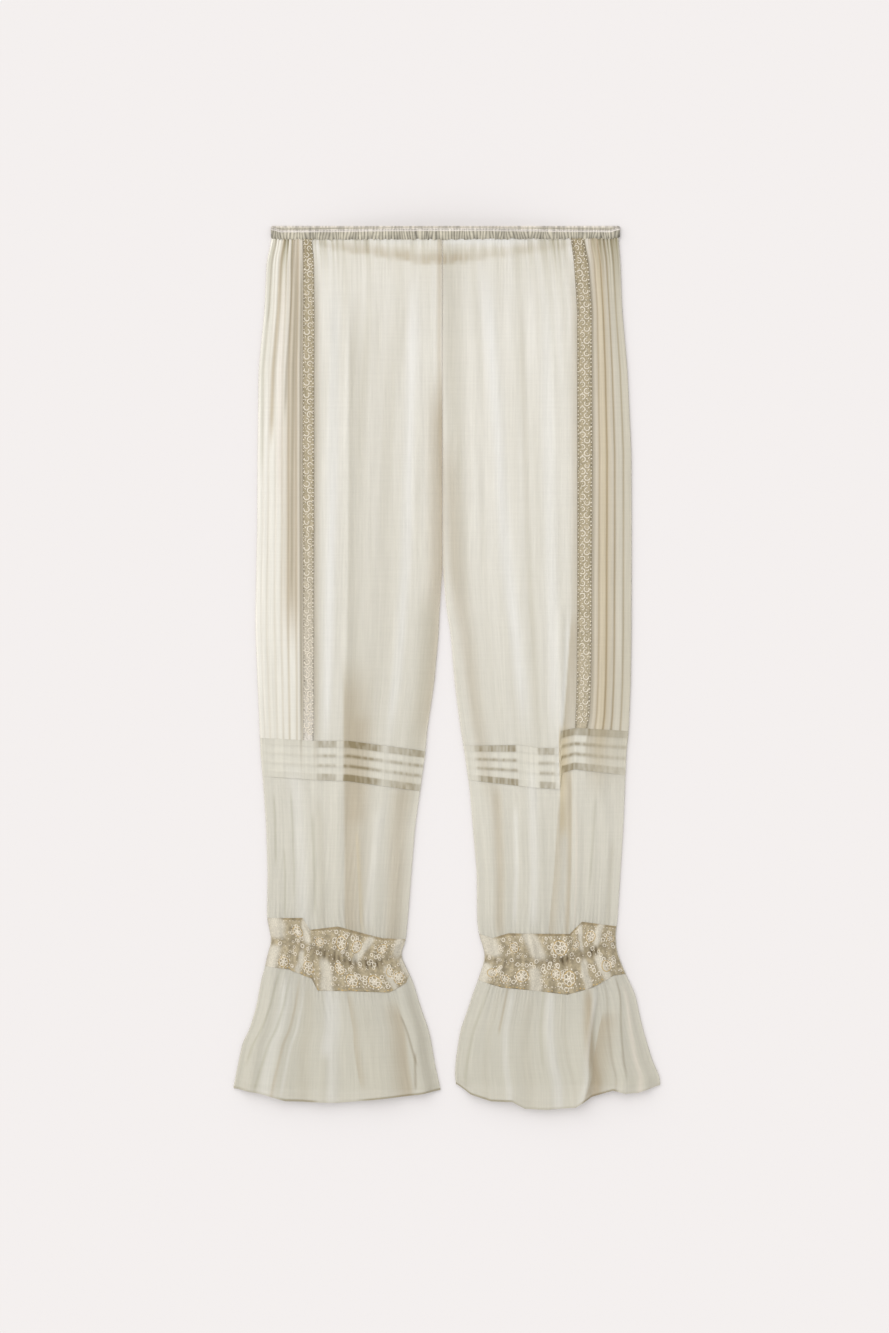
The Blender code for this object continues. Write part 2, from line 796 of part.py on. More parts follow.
def frill_height(leg: Leg, across: float, row: float) -> float:
    """Return how high a frill's front stands over its flat state."""
    crests = [(mix(w.across_top, w.across_hem, row), w.height) for w in leg.waves]
    for (start, low), (end, high) in zip(crests, crests[1:]):
        if across <= end:
            wave = mix(low, high, rise((across - start) / (end - start)))
            return mix(FRILL_TOP_HEIGHT, wave, rise(0.35 + row))
    return 0.0


def make_frill(leg: Leg, material: bpy.types.Material) -> bpy.types.Object:
    """Make the flared frill that ends the leg."""

    def relief(across: float, row: float, down: float) -> float:
        return frill_height(leg, across, row)

    front = merged(
        knots(leg.lace_bottom, leg.hem),
        [wave.across_hem for wave in leg.waves],
        evenly(0.0, 1.0, 24),
    )
    place = tube_place(leg, (leg.lace_bottom, leg.hem), relief)
    return cloth(
        f"frill_{leg.name}", ring(front, 4), FRILL_ROWS, place, material, leg.outward > 0
    )


def clear_scene() -> None:
    """Remove everything that the startup scene holds."""
    for thing in list(bpy.data.objects):
        bpy.data.objects.remove(thing, do_unlink=True)


def main() -> None:
    """Build the trousers in a collection of their own."""
    clear_scene()
    voile = principled("ivory voile", "DFDBD0", 0.9)
    tucked = principled("tucked voile", "E2D9C2", 0.9)
    lace = principled("embroidered lace", "C6BA9E", 0.85)
    elastic = principled("gathered casing", "BDB5A4", 0.9)
    stripes = principled("striped voile", "D3CBB6", 0.9)
    trousers = bpy.data.collections.new("trousers")
    bpy.context.scene.collection.children.link(trousers)
    pieces = [make_waistband(elastic)]
    for leg in LEGS:
        pieces += [
            make_front(leg, voile),
            make_back(leg, voile),
            make_side(leg, tucked),
            make_lace(leg, lace),
            make_knee_band(leg, stripes),
            make_lower_leg(leg, voile),
            make_cuff(leg, lace),
            make_frill(leg, voile),
        ]
    for piece in pieces:
        trousers.objects.link(piece)


main()
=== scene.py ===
"""Looks of the sheer ankle-length trousers that lie flat on their back.

The garment lies on z = 0 with its waist toward +Y and its front facing +Z. Left and right are as
seen from the front. A place on the cloth is given by across, 0 at a leg's outer fold and 1 at its
inner edge, by turn, 0 on the front and 1 on the back, and by down, the distance below the back
rim of the waist. Sizes are in millimetres up to Place.points().
"""

import logging
import math
from dataclasses import dataclass, field
from enum import Enum
from typing import Callable, NamedTuple, Sequence

import bmesh
import bpy
import numpy as np
from mathutils import Matrix, Vector


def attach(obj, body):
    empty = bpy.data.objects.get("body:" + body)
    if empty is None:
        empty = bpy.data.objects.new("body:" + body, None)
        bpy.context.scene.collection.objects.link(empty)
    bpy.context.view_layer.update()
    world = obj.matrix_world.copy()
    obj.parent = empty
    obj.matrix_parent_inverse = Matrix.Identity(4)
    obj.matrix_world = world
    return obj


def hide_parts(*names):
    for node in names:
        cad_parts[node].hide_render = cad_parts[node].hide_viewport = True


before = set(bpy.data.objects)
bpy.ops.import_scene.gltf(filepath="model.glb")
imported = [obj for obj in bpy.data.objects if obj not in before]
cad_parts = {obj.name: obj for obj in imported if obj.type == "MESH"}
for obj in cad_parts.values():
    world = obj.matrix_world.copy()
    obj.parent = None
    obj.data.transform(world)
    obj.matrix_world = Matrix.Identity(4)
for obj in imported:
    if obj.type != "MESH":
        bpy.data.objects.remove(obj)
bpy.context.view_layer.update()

LOG = logging.getLogger("trousers")
Array = np.ndarray
Number = Array | float
MM = 0.001

# Overall sizes in millimetres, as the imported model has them
TOTAL_LENGTH = 1002.0
MIDDLE_X = 1.8
LEG_WIDTH = 205.0
LACE_LENGTH = 568.0

# How the cloth is laid: the radius of a folded edge, the open seam, the share of a fold's height
# that is left once it is pressed flat, and the wall of sheer cloth
FOLD_RADIUS = 1.3
SEAM_GAP = 0.08
FOLD_SHARE = 0.6
SHEER_WALL = 0.35

# The waist, whose front stands up in a low arch that fades down the leg
WAIST_LEFT = -197.5
WAIST_RIGHT = 198.6
WAIST_SEAM = 17.0
BAND_RADIUS = 2.1
ARCH_HEIGHT = 17.0
ARCH_FADE = 120.0
BACK_BAND_BOTTOM = 12.0
FRONT_RIM = 5.0

# How high the leg's end and the cuff's top seam stand
CUFF_SEAM_HEIGHT = 3.6

# Where the lace strip's edges and middle lie across a leg
LACE_OUTER = 0.256
LACE_MIDDLE = 0.288
LACE_INNER = 0.320

# Levels between which a leg's cloth stops keeping to the lace and spreads evenly across
KNEE_START = 550.0
KNEE_REACH = 45.0


def table(kind: type, *values: tuple) -> tuple:
    """Make one named row out of each tuple of values."""
    return tuple(kind(*value) for value in values)


class PanelRow(NamedTuple):
    """Outline of a leg above the knee, at one level."""

    down: float
    outer: float
    lace_outer: float
    lace_inner: float
    inner: float


class TubeRow(NamedTuple):
    """Outline of a leg below the knee, at one level."""

    down: float
    outer: float
    inner: float


class Knot(NamedTuple):
    """One point of a line that runs across a leg."""

    across: float
    down: float


class Fold(NamedTuple):
    """A soft ridge that runs down the front of a leg."""

    across_top: float
    across_bottom: float
    down_top: float
    down_bottom: float
    half_width: float
    height: float


class Wave(NamedTuple):
    """A crest or a hollow of a frill, with its height at the hem."""

    across_top: float
    across_hem: float
    height: float


class Tint(Enum):
    """Tints for doubled cloth, for painted shade in folds and for painted highlights on ridges."""

    PALE = "FFFFFF"
    PINK = "FBF3EE"
    TAN = "E9DCBE"
    GREY = "DCD9CF"
    GREEN_GREY = "CBCABB"
    BROWN = "CDC1AC"
    DARK = "A39985"


class Stroke(NamedTuple):
    """A band of painted highlight, painted shade or doubled-cloth tone, and how far it spreads."""

    across_top: float
    across_bottom: float
    down_top: float
    down_bottom: float
    outward: float
    inward: float
    tint: Tint
    strength: float


class Overlap(NamedTuple):
    """A fold of plain voile over the cuff's lace, with row 1 on the elastic line."""

    across_top: float
    across_bottom: float
    row_top: float
    row_bottom: float
    half_width: float


class Rosette(NamedTuple):
    """A flower of the cuff's lace: its place, with row 1 on the elastic line, and its size."""

    across: float
    row: float
    size: float


class Leg(NamedTuple):
    """Everything that differs between the two legs."""

    name: str
    outward: float
    lace_width: float
    panel: Sequence[PanelRow]
    tube: Sequence[TubeRow]
    knee_top: Sequence[Knot]
    knee_bottom: Sequence[Knot]
    cuff_top: Sequence[Knot]
    gather: Sequence[Knot]
    lace_bottom: Sequence[Knot]
    hem: Sequence[Knot]
    folds: Sequence[Fold]
    waves: Sequence[Wave]
    tucks: Sequence[float]
    strokes: Sequence[Stroke]
    hem_shade: Sequence[tuple[float, float]]
    rosettes: Sequence[Rosette]
    overlaps: Sequence[Overlap]
    pit_shade: Sequence[tuple[float, float]]
    valley_shades: Sequence[float]
    lace_tones: Sequence[tuple[float, float]]
    knee_bars: Sequence[tuple[float, float]]
    seed: int


LEFT = Leg(
    name="left",
    outward=-1.0,
    lace_width=13.0,
    panel=table(
        PanelRow,
        (15.0, -196.6, -161.2, -151.0, -3.2), (41.0, -202.6, -160.6, -148.7, -3.2),
        (95.0, -204.9, -161.0, -148.1, -3.2), (163.0, -211.7, -161.6, -148.4, -3.2),
        (259.0, -212.8, -161.7, -148.4, -3.2), (340.0, -213.2, -161.5, -148.4, -3.2),
        (388.0, -214.4, -161.2, -148.6, -3.2), (436.0, -215.1, -161.1, -148.7, -6.0),
        (463.0, -215.1, -161.0, -148.7, -7.0), (518.0, -212.8, -160.8, -148.7, -11.9),
        (572.0, -210.5, -160.8, -148.6, -19.9),
    ),
    tube=table(
        TubeRow,
        (599.0, -209.4, -22.1), (640.0, -206.0, -27.8), (681.0, -203.2, -33.5),
        (735.0, -201.5, -38.0), (785.0, -202.2, -41.8), (811.0, -196.9, -44.3),
        (827.0, -201.5, -50.3), (840.0, -204.3, -44.5), (858.0, -209.4, -35.8),
        (885.0, -214.0, -27.8), (913.0, -222.5, -18.0), (926.0, -229.8, -15.3),
        (953.0, -235.5, -10.8), (981.0, -241.0, -4.5),
    ),
    knee_top=table(Knot, (0.0, 581.0), (0.344, 584.5), (0.536, 584.5), (1.0, 595.9)),
    knee_bottom=table(Knot, (0.0, 624.3), (0.344, 628.8), (0.536, 629.9), (1.0, 641.3)),
    cuff_top=table(
        Knot,
        (0.0, 785.4), (6 / 24, 784.9), (7 / 24, 798.5), (12 / 24, 794.5), (17 / 24, 803.4),
        (20 / 24, 808.1), (1.0, 809.3),
    ),
    gather=table(
        Knot,
        (0.0, 811.5), (4 / 24, 811.5), (6 / 24, 817.6), (10 / 24, 825.2), (15 / 24, 836.2),
        (19 / 24, 837.1), (1.0, 827.4),
    ),
    lace_bottom=table(
        Knot,
        (0.0, 839.9), (4 / 24, 843.0), (8 / 24, 853.5), (9 / 24, 867.1), (15 / 24, 868.0),
        (20 / 24, 869.4), (23 / 24, 858.7), (1.0, 850.0),
    ),
    hem=table(
        Knot,
        (0.0, 978.4), (6 / 48, 984.0), (12 / 48, 992.2), (24 / 48, 994.3), (32 / 48, 991.0),
        (43 / 48, 985.2), (1.0, 980.6),
    ),
    folds=table(
        Fold,
        (0.41, 0.41, 35.0, 590.0, 0.05, 1.5), (0.5, 0.505, 25.0, 590.0, 0.034, 2.4),
        (0.615, 0.63, 30.0, 560.0, 0.06, 1.4), (0.77, 0.79, 80.0, 570.0, 0.06, 1.5),
        (0.86, 0.88, 60.0, 390.0, 0.045, 1.8), (0.945, 0.96, 190.0, 440.0, 0.04, 1.4),
        (0.16, 0.16, 640.0, 800.0, 0.05, 2.0), (0.285, 0.29, 630.0, 800.0, 0.05, 2.6),
        (0.37, 0.375, 650.0, 810.0, 0.045, 2.2), (0.48, 0.5, 625.0, 810.0, 0.06, 3.0),
        (0.61, 0.66, 640.0, 815.0, 0.06, 2.8), (0.74, 0.78, 650.0, 815.0, 0.06, 3.0),
        (0.88, 0.91, 650.0, 815.0, 0.055, 2.6),
    ),
    waves=table(
        Wave,
        (0.0, 0.0, 0.0), (0.05, 0.06, 8.0), (0.1, 0.13, 5.5), (0.16, 0.22, 9.0), (0.23, 0.31, 6.0),
        (0.36, 0.43, 10.0), (0.52, 0.55, 6.6), (0.66, 0.72, 11.0), (0.85, 0.865, 5.0),
        (0.93, 0.93, 8.5), (1.0, 1.0, 0.0),
    ),
    tucks=(0.0, 0.026, 0.057, 0.1, 0.137, 0.174, 0.219, 0.256),
    strokes=table(
        Stroke,
        (0.2, 0.195, -60.0, 500.0, 0.085, 0.09, Tint.BROWN, 0.72),
        (0.1, 0.07, -20.0, 260.0, 0.022, 0.026, Tint.BROWN, 0.8),
        (0.118, 0.122, 40.0, 330.0, 0.02, 0.02, Tint.PINK, 0.5),
        (0.19, 0.15, -20.0, 230.0, 0.012, 0.014, Tint.DARK, 0.5),
        (0.04, 0.02, -20.0, 120.0, 0.01, 0.012, Tint.DARK, 0.35),
        (0.205, 0.19, -10.0, 460.0, 0.014, 0.018, Tint.DARK, 0.55),
        (0.244, 0.244, -10.0, 640.0, 0.014, 0.014, Tint.DARK, 0.8),
        (0.015, 0.02, -20.0, 300.0, 0.02, 0.02, Tint.GREEN_GREY, 0.4),
        (0.322, 0.322, 10.0, 640.0, 0.004, 0.045, Tint.BROWN, 0.5),
        (0.44, 0.385, 20.0, 620.0, 0.05, 0.05, Tint.PALE, 0.5),
        (0.515, 0.505, 60.0, 660.0, 0.014, 0.2, Tint.GREY, 0.45),
        (0.75, 0.63, 60.0, 660.0, 0.09, 0.1, Tint.GREY, 0.32),
        (0.865, 0.77, 40.0, 620.0, 0.05, 0.05, Tint.PALE, 0.45),
        (1.0, 0.99, 150.0, 620.0, 0.11, 0.02, Tint.BROWN, 0.6),
        (0.96, 0.94, 400.0, 690.0, 0.13, 0.08, Tint.GREY, 0.55),
        (0.59, 0.6, 545.0, 690.0, 0.12, 0.13, Tint.BROWN, 0.42),
        (0.195, 0.262, 600.0, 815.0, 0.085, 0.07, Tint.PALE, 0.26),
        (0.058, 0.052, 640.0, 730.0, 0.012, 0.012, Tint.GREEN_GREY, 0.5),
        (0.11, 0.125, 700.0, 800.0, 0.01, 0.016, Tint.GREEN_GREY, 0.45),
        (0.165, 0.185, 630.0, 770.0, 0.01, 0.014, Tint.GREEN_GREY, 0.45),
        (0.3, 0.335, 660.0, 790.0, 0.008, 0.03, Tint.GREEN_GREY, 0.4),
        (0.345, 0.395, 640.0, 815.0, 0.05, 0.05, Tint.GREY, 0.42),
        (0.49, 0.58, 480.0, 860.0, 0.026, 0.22, Tint.BROWN, 0.58),
        (0.76, 0.7, 650.0, 810.0, 0.05, 0.07, Tint.PALE, 0.2),
        (0.88, 0.92, 610.0, 860.0, 0.11, 0.12, Tint.BROWN, 0.46),
        (0.6, 0.68, 680.0, 810.0, 0.01, 0.04, Tint.TAN, 0.35),
        (0.17, 0.14, 840.0, 1010.0, 0.06, 0.07, Tint.PALE, 0.28),
        (0.11, 0.03, 836.0, 960.0, 0.01, 0.016, Tint.GREEN_GREY, 0.55),
        (0.19, 0.085, 840.0, 1000.0, 0.01, 0.022, Tint.GREEN_GREY, 0.5),
        (0.255, 0.17, 845.0, 1010.0, 0.012, 0.018, Tint.BROWN, 0.45),
        (0.29, 0.225, 850.0, 1000.0, 0.014, 0.014, Tint.PALE, 0.26),
        (0.44, 0.445, 840.0, 950.0, 0.045, 0.045, Tint.PALE, 0.36),
        (0.31, 0.35, 840.0, 1040.0, 0.065, 0.06, Tint.GREY, 0.65),
        (0.485, 0.465, 850.0, 1040.0, 0.035, 0.06, Tint.PALE, 0.28),
        (0.555, 0.625, 860.0, 985.0, 0.008, 0.05, Tint.BROWN, 0.45),
        (0.64, 0.72, 870.0, 1040.0, 0.1, 0.12, Tint.GREY, 0.3),
        (0.86, 0.85, 870.0, 1040.0, 0.12, 0.03, Tint.BROWN, 0.6),
        (0.869, 0.915, 892.0, 955.0, 0.014, 0.008, Tint.DARK, 0.55),
        (0.915, 0.884, 935.0, 982.0, 0.014, 0.008, Tint.DARK, 0.55),
        (0.96, 0.96, 860.0, 1040.0, 0.05, 0.04, Tint.GREY, 0.45),
    ),
    hem_shade=(
        (0.0, 0.6), (0.2, 0.3), (0.25, 1.0), (0.38, 1.0), (0.42, 0.3), (0.6, 0.3), (0.65, 1.0),
    ),
    rosettes=table(
        Rosette,
        (0.04, 0.5, 0.8), (0.202, 0.52, 1.0), (0.363, 0.56, 0.9), (0.529, 0.48, 1.1),
        (0.652, 0.46, 1.0), (0.848, 0.43, 1.0), (0.95, 0.5, 0.8), (0.124, 1.74, 1.0),
        (0.31, 1.62, 1.0), (0.423, 1.48, 0.8), (0.53, 1.3, 0.9), (0.605, 1.62, 1.1),
        (0.755, 1.63, 1.2), (0.88, 1.4, 0.8), (0.925, 1.72, 1.0),
    ),
    overlaps=table(
        Overlap,
        (0.05, 0.04, -0.2, 1.05, 0.11), (0.272, 0.25, -0.2, 1.0, 0.048),
        (0.76, 0.64, -0.1, 1.2, 0.055), (0.96, 0.97, -0.2, 1.3, 0.06),
        (0.03, 0.05, 1.0, 2.3, 0.085), (0.25, 0.24, 1.0, 2.2, 0.035),
        (0.42, 0.45, 0.95, 2.4, 0.07), (0.86, 0.88, 1.05, 2.2, 0.035), (1.0, 1.0, 1.0, 2.2, 0.04),
    ),
    pit_shade=(
        (0.0, 0.1), (0.3, 0.2), (0.37, 0.8), (0.54, 0.8), (0.56, 0.3), (0.6, 1.0), (0.65, 0.9),
        (0.68, 0.3), (0.73, 1.0), (0.83, 0.9), (0.87, 0.2), (1.0, 0.2),
    ),
    valley_shades=(0.14, 0.22, 0.22, 0.35, 0.55, 0.5),
    lace_tones=((15.0, 0.8), (70.0, 0.98), (330.0, 1.0), (430.0, 1.3), (600.0, 1.75)),
    knee_bars=(
        (0.0, 0.06), (0.22, 0.1), (0.33, 0.12), (0.355, 0.52), (0.45, 0.5), (0.465, 0.1),
        (0.5, 0.1), (0.51, 1.0), (0.64, 1.0), (0.67, 0.75), (0.74, 0.55), (0.755, 0.15),
        (0.78, 0.4), (0.85, 0.55), (1.0, 0.62),
    ),
    seed=11,
)

RIGHT = Leg(
    name="right",
    outward=1.0,
    lace_width=17.0,
    panel=table(
        PanelRow,
        (15.0, 197.2, 157.0, 142.5, -2.8), (41.0, 199.2, 162.5, 146.0, -2.8),
        (95.0, 201.2, 166.8, 149.8, -2.8), (163.0, 207.2, 166.8, 149.8, -2.8),
        (259.0, 211.7, 167.3, 150.0, -2.8), (340.0, 211.9, 166.9, 150.0, -2.8),
        (388.0, 211.9, 166.6, 150.0, -2.8), (436.0, 211.7, 166.4, 149.8, 1.7),
        (463.0, 211.7, 166.3, 149.7, 6.2), (518.0, 210.9, 165.6, 149.3, 10.6),
        (572.0, 208.7, 163.4, 147.5, 17.6),
    ),
    tube=table(
        TubeRow,
        (599.0, 206.0, 22.1), (640.0, 204.3, 27.8), (681.0, 202.6, 31.2), (735.0, 199.2, 35.8),
        (790.0, 195.8, 36.3), (803.0, 193.6, 38.0), (822.0, 195.0, 44.3), (833.0, 198.6, 44.8),
        (849.0, 205.4, 39.7), (872.0, 216.2, 31.2), (899.0, 221.9, 22.1), (913.0, 225.3, 17.0),
        (947.0, 235.5, 11.9), (967.0, 244.6, 10.8), (975.0, 244.0, 13.0),
    ),
    knee_top=table(
        Knot,
        (0.0, 573.2), (0.32, 569.8), (0.403, 573.2), (0.418, 592.5), (0.543, 592.5),
        (0.673, 589.1), (1.0, 590.0),
    ),
    knee_bottom=table(
        Knot,
        (0.0, 623.1), (0.32, 616.5), (0.403, 620.8), (0.418, 639.0), (0.543, 637.9),
        (0.673, 635.6), (1.0, 628.8),
    ),
    cuff_top=table(
        Knot,
        (0.0, 794.5), (6 / 24, 789.2), (8 / 24, 803.1), (19 / 24, 802.4), (22 / 24, 808.1),
        (1.0, 803.6),
    ),
    gather=table(
        Knot,
        (0.0, 821.0), (3 / 24, 818.3), (5 / 24, 825.2), (7 / 24, 825.7), (10 / 24, 833.1),
        (15 / 24, 836.2), (1.0, 832.7),
    ),
    lace_bottom=table(
        Knot,
        (0.0, 849.0), (2 / 24, 850.0), (6 / 24, 863.7), (10 / 24, 871.7), (15 / 24, 867.1),
        (20 / 24, 863.7), (1.0, 855.8),
    ),
    hem=table(
        Knot,
        (0.0, 975.0), (5 / 48, 982.9), (8 / 48, 984.0), (11 / 48, 980.6), (16 / 48, 987.5),
        (20 / 48, 999.6), (27 / 48, 1002.0), (32 / 48, 1001.0), (35 / 48, 993.1), (40 / 48, 992.6),
        (45 / 48, 984.5), (1.0, 974.0),
    ),
    folds=table(
        Fold,
        (0.405, 0.412, 420.0, 600.0, 0.032, 3.0), (0.43, 0.445, 80.0, 560.0, 0.04, 1.6),
        (0.53, 0.52, 80.0, 590.0, 0.05, 1.5), (0.64, 0.62, 60.0, 560.0, 0.055, 1.2),
        (0.75, 0.7, 40.0, 560.0, 0.06, 1.7), (0.85, 0.83, 40.0, 400.0, 0.045, 1.6),
        (0.93, 0.92, 190.0, 440.0, 0.045, 1.5), (0.11, 0.1, 640.0, 800.0, 0.05, 2.2),
        (0.215, 0.2, 640.0, 800.0, 0.05, 2.2), (0.31, 0.29, 640.0, 800.0, 0.045, 2.6),
        (0.42, 0.43, 625.0, 810.0, 0.05, 3.4), (0.56, 0.555, 650.0, 810.0, 0.06, 2.8),
        (0.69, 0.69, 650.0, 815.0, 0.055, 2.4), (0.8, 0.79, 650.0, 815.0, 0.05, 2.4),
        (0.91, 0.9, 660.0, 815.0, 0.05, 2.2),
    ),
    waves=table(
        Wave,
        (0.0, 0.0, 0.0), (0.04, 0.06, 7.5), (0.06, 0.115, 5.0), (0.085, 0.18, 9.5),
        (0.14, 0.235, 4.5), (0.205, 0.335, 4.0), (0.24, 0.38, 12.5), (0.4, 0.47, 7.5),
        (0.5, 0.56, 10.0), (0.62, 0.645, 6.8), (0.74, 0.74, 10.0), (0.86, 0.84, 6.5),
        (0.94, 0.93, 8.5), (1.0, 1.0, 0.0),
    ),
    tucks=(0.0, 0.048, 0.106, 0.158, 0.209, 0.256),
    strokes=table(
        Stroke,
        (0.225, 0.225, -60.0, 660.0, 0.13, 0.04, Tint.BROWN, 0.7),
        (0.17, 0.17, -60.0, 660.0, 0.07, 0.06, Tint.TAN, 0.55),
        (0.13, 0.13, -60.0, 660.0, 0.1, 0.09, Tint.BROWN, 0.48),
        (0.02, 0.02, -60.0, 660.0, 0.16, 0.17, Tint.GREY, 0.95),
        (0.128, 0.128, -90.0, 690.0, 0.24, 0.15, Tint.DARK, 0.2),
        (0.248, 0.246, -20.0, 640.0, 0.018, 0.014, Tint.DARK, 0.7),
        (0.322, 0.322, 10.0, 640.0, 0.004, 0.05, Tint.BROWN, 0.45),
        (0.475, 0.44, 40.0, 620.0, 0.055, 0.055, Tint.PALE, 0.4),
        (0.605, 0.54, 60.0, 620.0, 0.03, 0.03, Tint.GREY, 0.35),
        (0.79, 0.61, 20.0, 600.0, 0.06, 0.06, Tint.PALE, 0.5),
        (1.0, 0.93, -60.0, 470.0, 0.13, 0.05, Tint.GREY, 0.48),
        (0.985, 0.88, 220.0, 680.0, 0.09, 0.06, Tint.BROWN, 0.34),
        (0.345, 0.412, 430.0, 650.0, 0.075, 0.004, Tint.BROWN, 0.55),
        (0.356, 0.424, 430.0, 650.0, 0.004, 0.03, Tint.PALE, 0.4),
        (0.414, 0.42, 560.0, 700.0, 0.1, 0.003, Tint.TAN, 0.7),
        (0.83, 0.85, 620.0, 825.0, 0.06, 0.06, Tint.BROWN, 0.48),
        (0.71, 0.74, 650.0, 800.0, 0.03, 0.03, Tint.PALE, 0.3),
        (0.595, 0.605, 600.0, 810.0, 0.055, 0.055, Tint.PALE, 0.32),
        (0.42, 0.5, 640.0, 830.0, 0.09, 0.006, Tint.BROWN, 0.45),
        (0.35, 0.352, 600.0, 830.0, 0.02, 0.04, Tint.BROWN, 0.6),
        (0.312, 0.3, 645.0, 810.0, 0.012, 0.01, Tint.PINK, 0.42),
        (0.18, 0.21, 640.0, 760.0, 0.01, 0.02, Tint.GREEN_GREY, 0.35),
        (0.06, 0.07, 690.0, 820.0, 0.03, 0.03, Tint.GREY, 0.45),
        (0.84, 0.86, 850.0, 1010.0, 0.03, 0.03, Tint.GREY, 0.35),
        (0.91, 0.96, 850.0, 990.0, 0.01, 0.02, Tint.GREEN_GREY, 0.45),
        (0.8, 0.79, 850.0, 920.0, 0.01, 0.014, Tint.BROWN, 0.55),
        (0.57, 0.56, 855.0, 960.0, 0.016, 0.014, Tint.GREEN_GREY, 0.35),
        (0.16, 0.225, 845.0, 1000.0, 0.012, 0.014, Tint.DARK, 0.26),
        (0.765, 0.735, 850.0, 1040.0, 0.03, 0.03, Tint.PALE, 0.25),
        (0.64, 0.65, 860.0, 1040.0, 0.055, 0.055, Tint.GREY, 0.42),
        (0.525, 0.49, 850.0, 1040.0, 0.04, 0.05, Tint.PALE, 0.32),
        (0.445, 0.415, 860.0, 1010.0, 0.02, 0.02, Tint.GREY, 0.35),
        (0.28, 0.325, 850.0, 1040.0, 0.04, 0.055, Tint.BROWN, 0.78),
        (0.195, 0.385, 885.0, 1000.0, 0.13, 0.006, Tint.BROWN, 0.62),
        (0.218, 0.405, 856.0, 1010.0, 0.008, 0.034, Tint.PALE, 0.26),
        (0.065, 0.165, 840.0, 975.0, 0.01, 0.014, Tint.DARK, 0.42),
        (0.04, 0.11, 850.0, 1010.0, 0.02, 0.02, Tint.PINK, 0.4),
    ),
    hem_shade=(
        (0.0, 0.3), (0.2, 0.3), (0.22, 1.0), (0.37, 1.0), (0.4, 0.4), (0.7, 0.4), (0.74, 1.0),
    ),
    rosettes=table(
        Rosette,
        (0.036, 0.54, 0.8), (0.184, 0.47, 1.0), (0.3, 0.62, 0.8), (0.423, 0.52, 1.5),
        (0.6, 0.4, 0.8), (0.772, 0.49, 0.9), (0.895, 0.47, 0.9), (0.11, 1.6, 1.0),
        (0.393, 1.56, 1.2), (0.48, 1.4, 0.9), (0.6, 1.62, 0.9), (0.715, 1.49, 1.2),
        (0.83, 1.66, 0.8), (0.928, 1.52, 1.0),
    ),
    overlaps=table(
        Overlap,
        (0.96, 0.93, -0.2, 1.0, 0.12), (0.64, 0.59, -0.2, 1.1, 0.1),
        (0.265, 0.25, -0.1, 1.1, 0.028), (0.105, 0.15, -0.2, 1.1, 0.045),
        (0.63, 0.62, 1.0, 2.3, 0.07), (0.26, 0.29, 1.0, 2.3, 0.045), (0.16, 0.13, 1.0, 2.3, 0.05),
        (1.0, 0.98, 1.0, 2.3, 0.09),
    ),
    pit_shade=(
        (0.0, 0.1), (0.13, 0.2), (0.155, 1.0), (0.21, 1.0), (0.23, 0.4), (0.36, 0.4), (0.38, 1.0),
        (0.44, 1.0), (0.47, 0.6), (0.56, 0.5), (0.6, 0.2), (1.0, 0.2),
    ),
    valley_shades=(0.7, 0.9, 0.9, 0.6),
    lace_tones=((15.0, 0.85), (70.0, 0.96), (400.0, 0.96), (560.0, 1.1)),
    knee_bars=(
        (0.0, 0.3), (0.02, 0.35), (0.18, 0.4), (0.24, 0.6), (0.405, 0.75), (0.415, 0.05),
        (0.44, 0.1), (0.45, 0.5), (0.54, 0.5), (0.555, 0.05), (0.675, 0.05), (0.69, 0.72),
        (0.93, 0.6), (0.95, 0.1), (1.0, 0.1),
    ),
    seed=23,
)

LEGS = (LEFT, RIGHT)
BAND_FRONT_BOTTOM = table(Knot, (0.0, 14.8), (0.5, WAIST_SEAM), (1.0, 13.6))

# The arc of shade that the raised band throws on the front, by x: its upper and lower bounds
SHADOW_UPPER = ((-150.0, 16.0), (-90.0, 20.0), (-52.0, 27.0), (-22.0, 29.0), (22.0, 29.0),
                (62.0, 25.0), (96.0, 18.0), (140.0, 15.0))
SHADOW_LOWER = ((-150.0, 17.0), (-128.0, 25.0), (-96.0, 30.0), (-52.0, 38.0), (-22.0, 42.0),
                (22.0, 41.0), (62.0, 34.0), (96.0, 30.0), (130.0, 25.0), (150.0, 17.0))

# How strong the painted arc is, by x, and the painted highlight on the strip between it and the
# band
SHADOW_STRENGTH = ((-150.0, 0.50), (-80.0, 0.60), (-10.0, 0.74), (22.0, 0.84), (40.0, 0.42),
                   (100.0, 0.34), (150.0, 0.30))
STRIP_PAINTED_LIGHT = ((-110.0, 0.0), (-60.0, 0.45), (-10.0, 0.25), (10.0, 0.75), (70.0, 0.75),
                  (120.0, 0.0))

# The centre seam's x and how strongly it shows, by level
CENTRE_SEAM_X = ((160.0, -6.0), (330.0, -3.0))
CENTRE_SEAM_STRENGTH = ((20.0, 0.58), (120.0, 0.44), (400.0, 0.36))

# The warm tint of the voile outside its painted highlights, as red, green and blue shares
WARMTH = (0.937, 0.912, 0.852)

# How light the cloth is painted at a level: darker toward the hem
LEVEL_SHADE = ((17.0, 1.0), (300.0, 0.97), (450.0, 0.93), (590.0, 0.88), (800.0, 0.83),
               (1000.0, 0.76))

# How fast red, green and blue darken in the plain cloth, in a gather's shade and in the lace.
# Blue goes first, as it does in undyed cotton.
LEVEL_POWERS = (1.0, 1.04, 1.30)
GATHER_POWERS = (0.92, 1.0, 1.35)
LACE_POWERS = (0.73, 0.88, 1.35)


def mix(start: Number, end: Number, share: Number) -> Number:
    """Return the value at a share of the way from start to end."""
    return start + (end - start) * share


def ease(share: Array) -> Array:
    """Ease from 0 to 1 over a share from 0 to 1."""
    share = np.clip(share, 0.0, 1.0)
    return share * share * (3.0 - 2.0 * share)


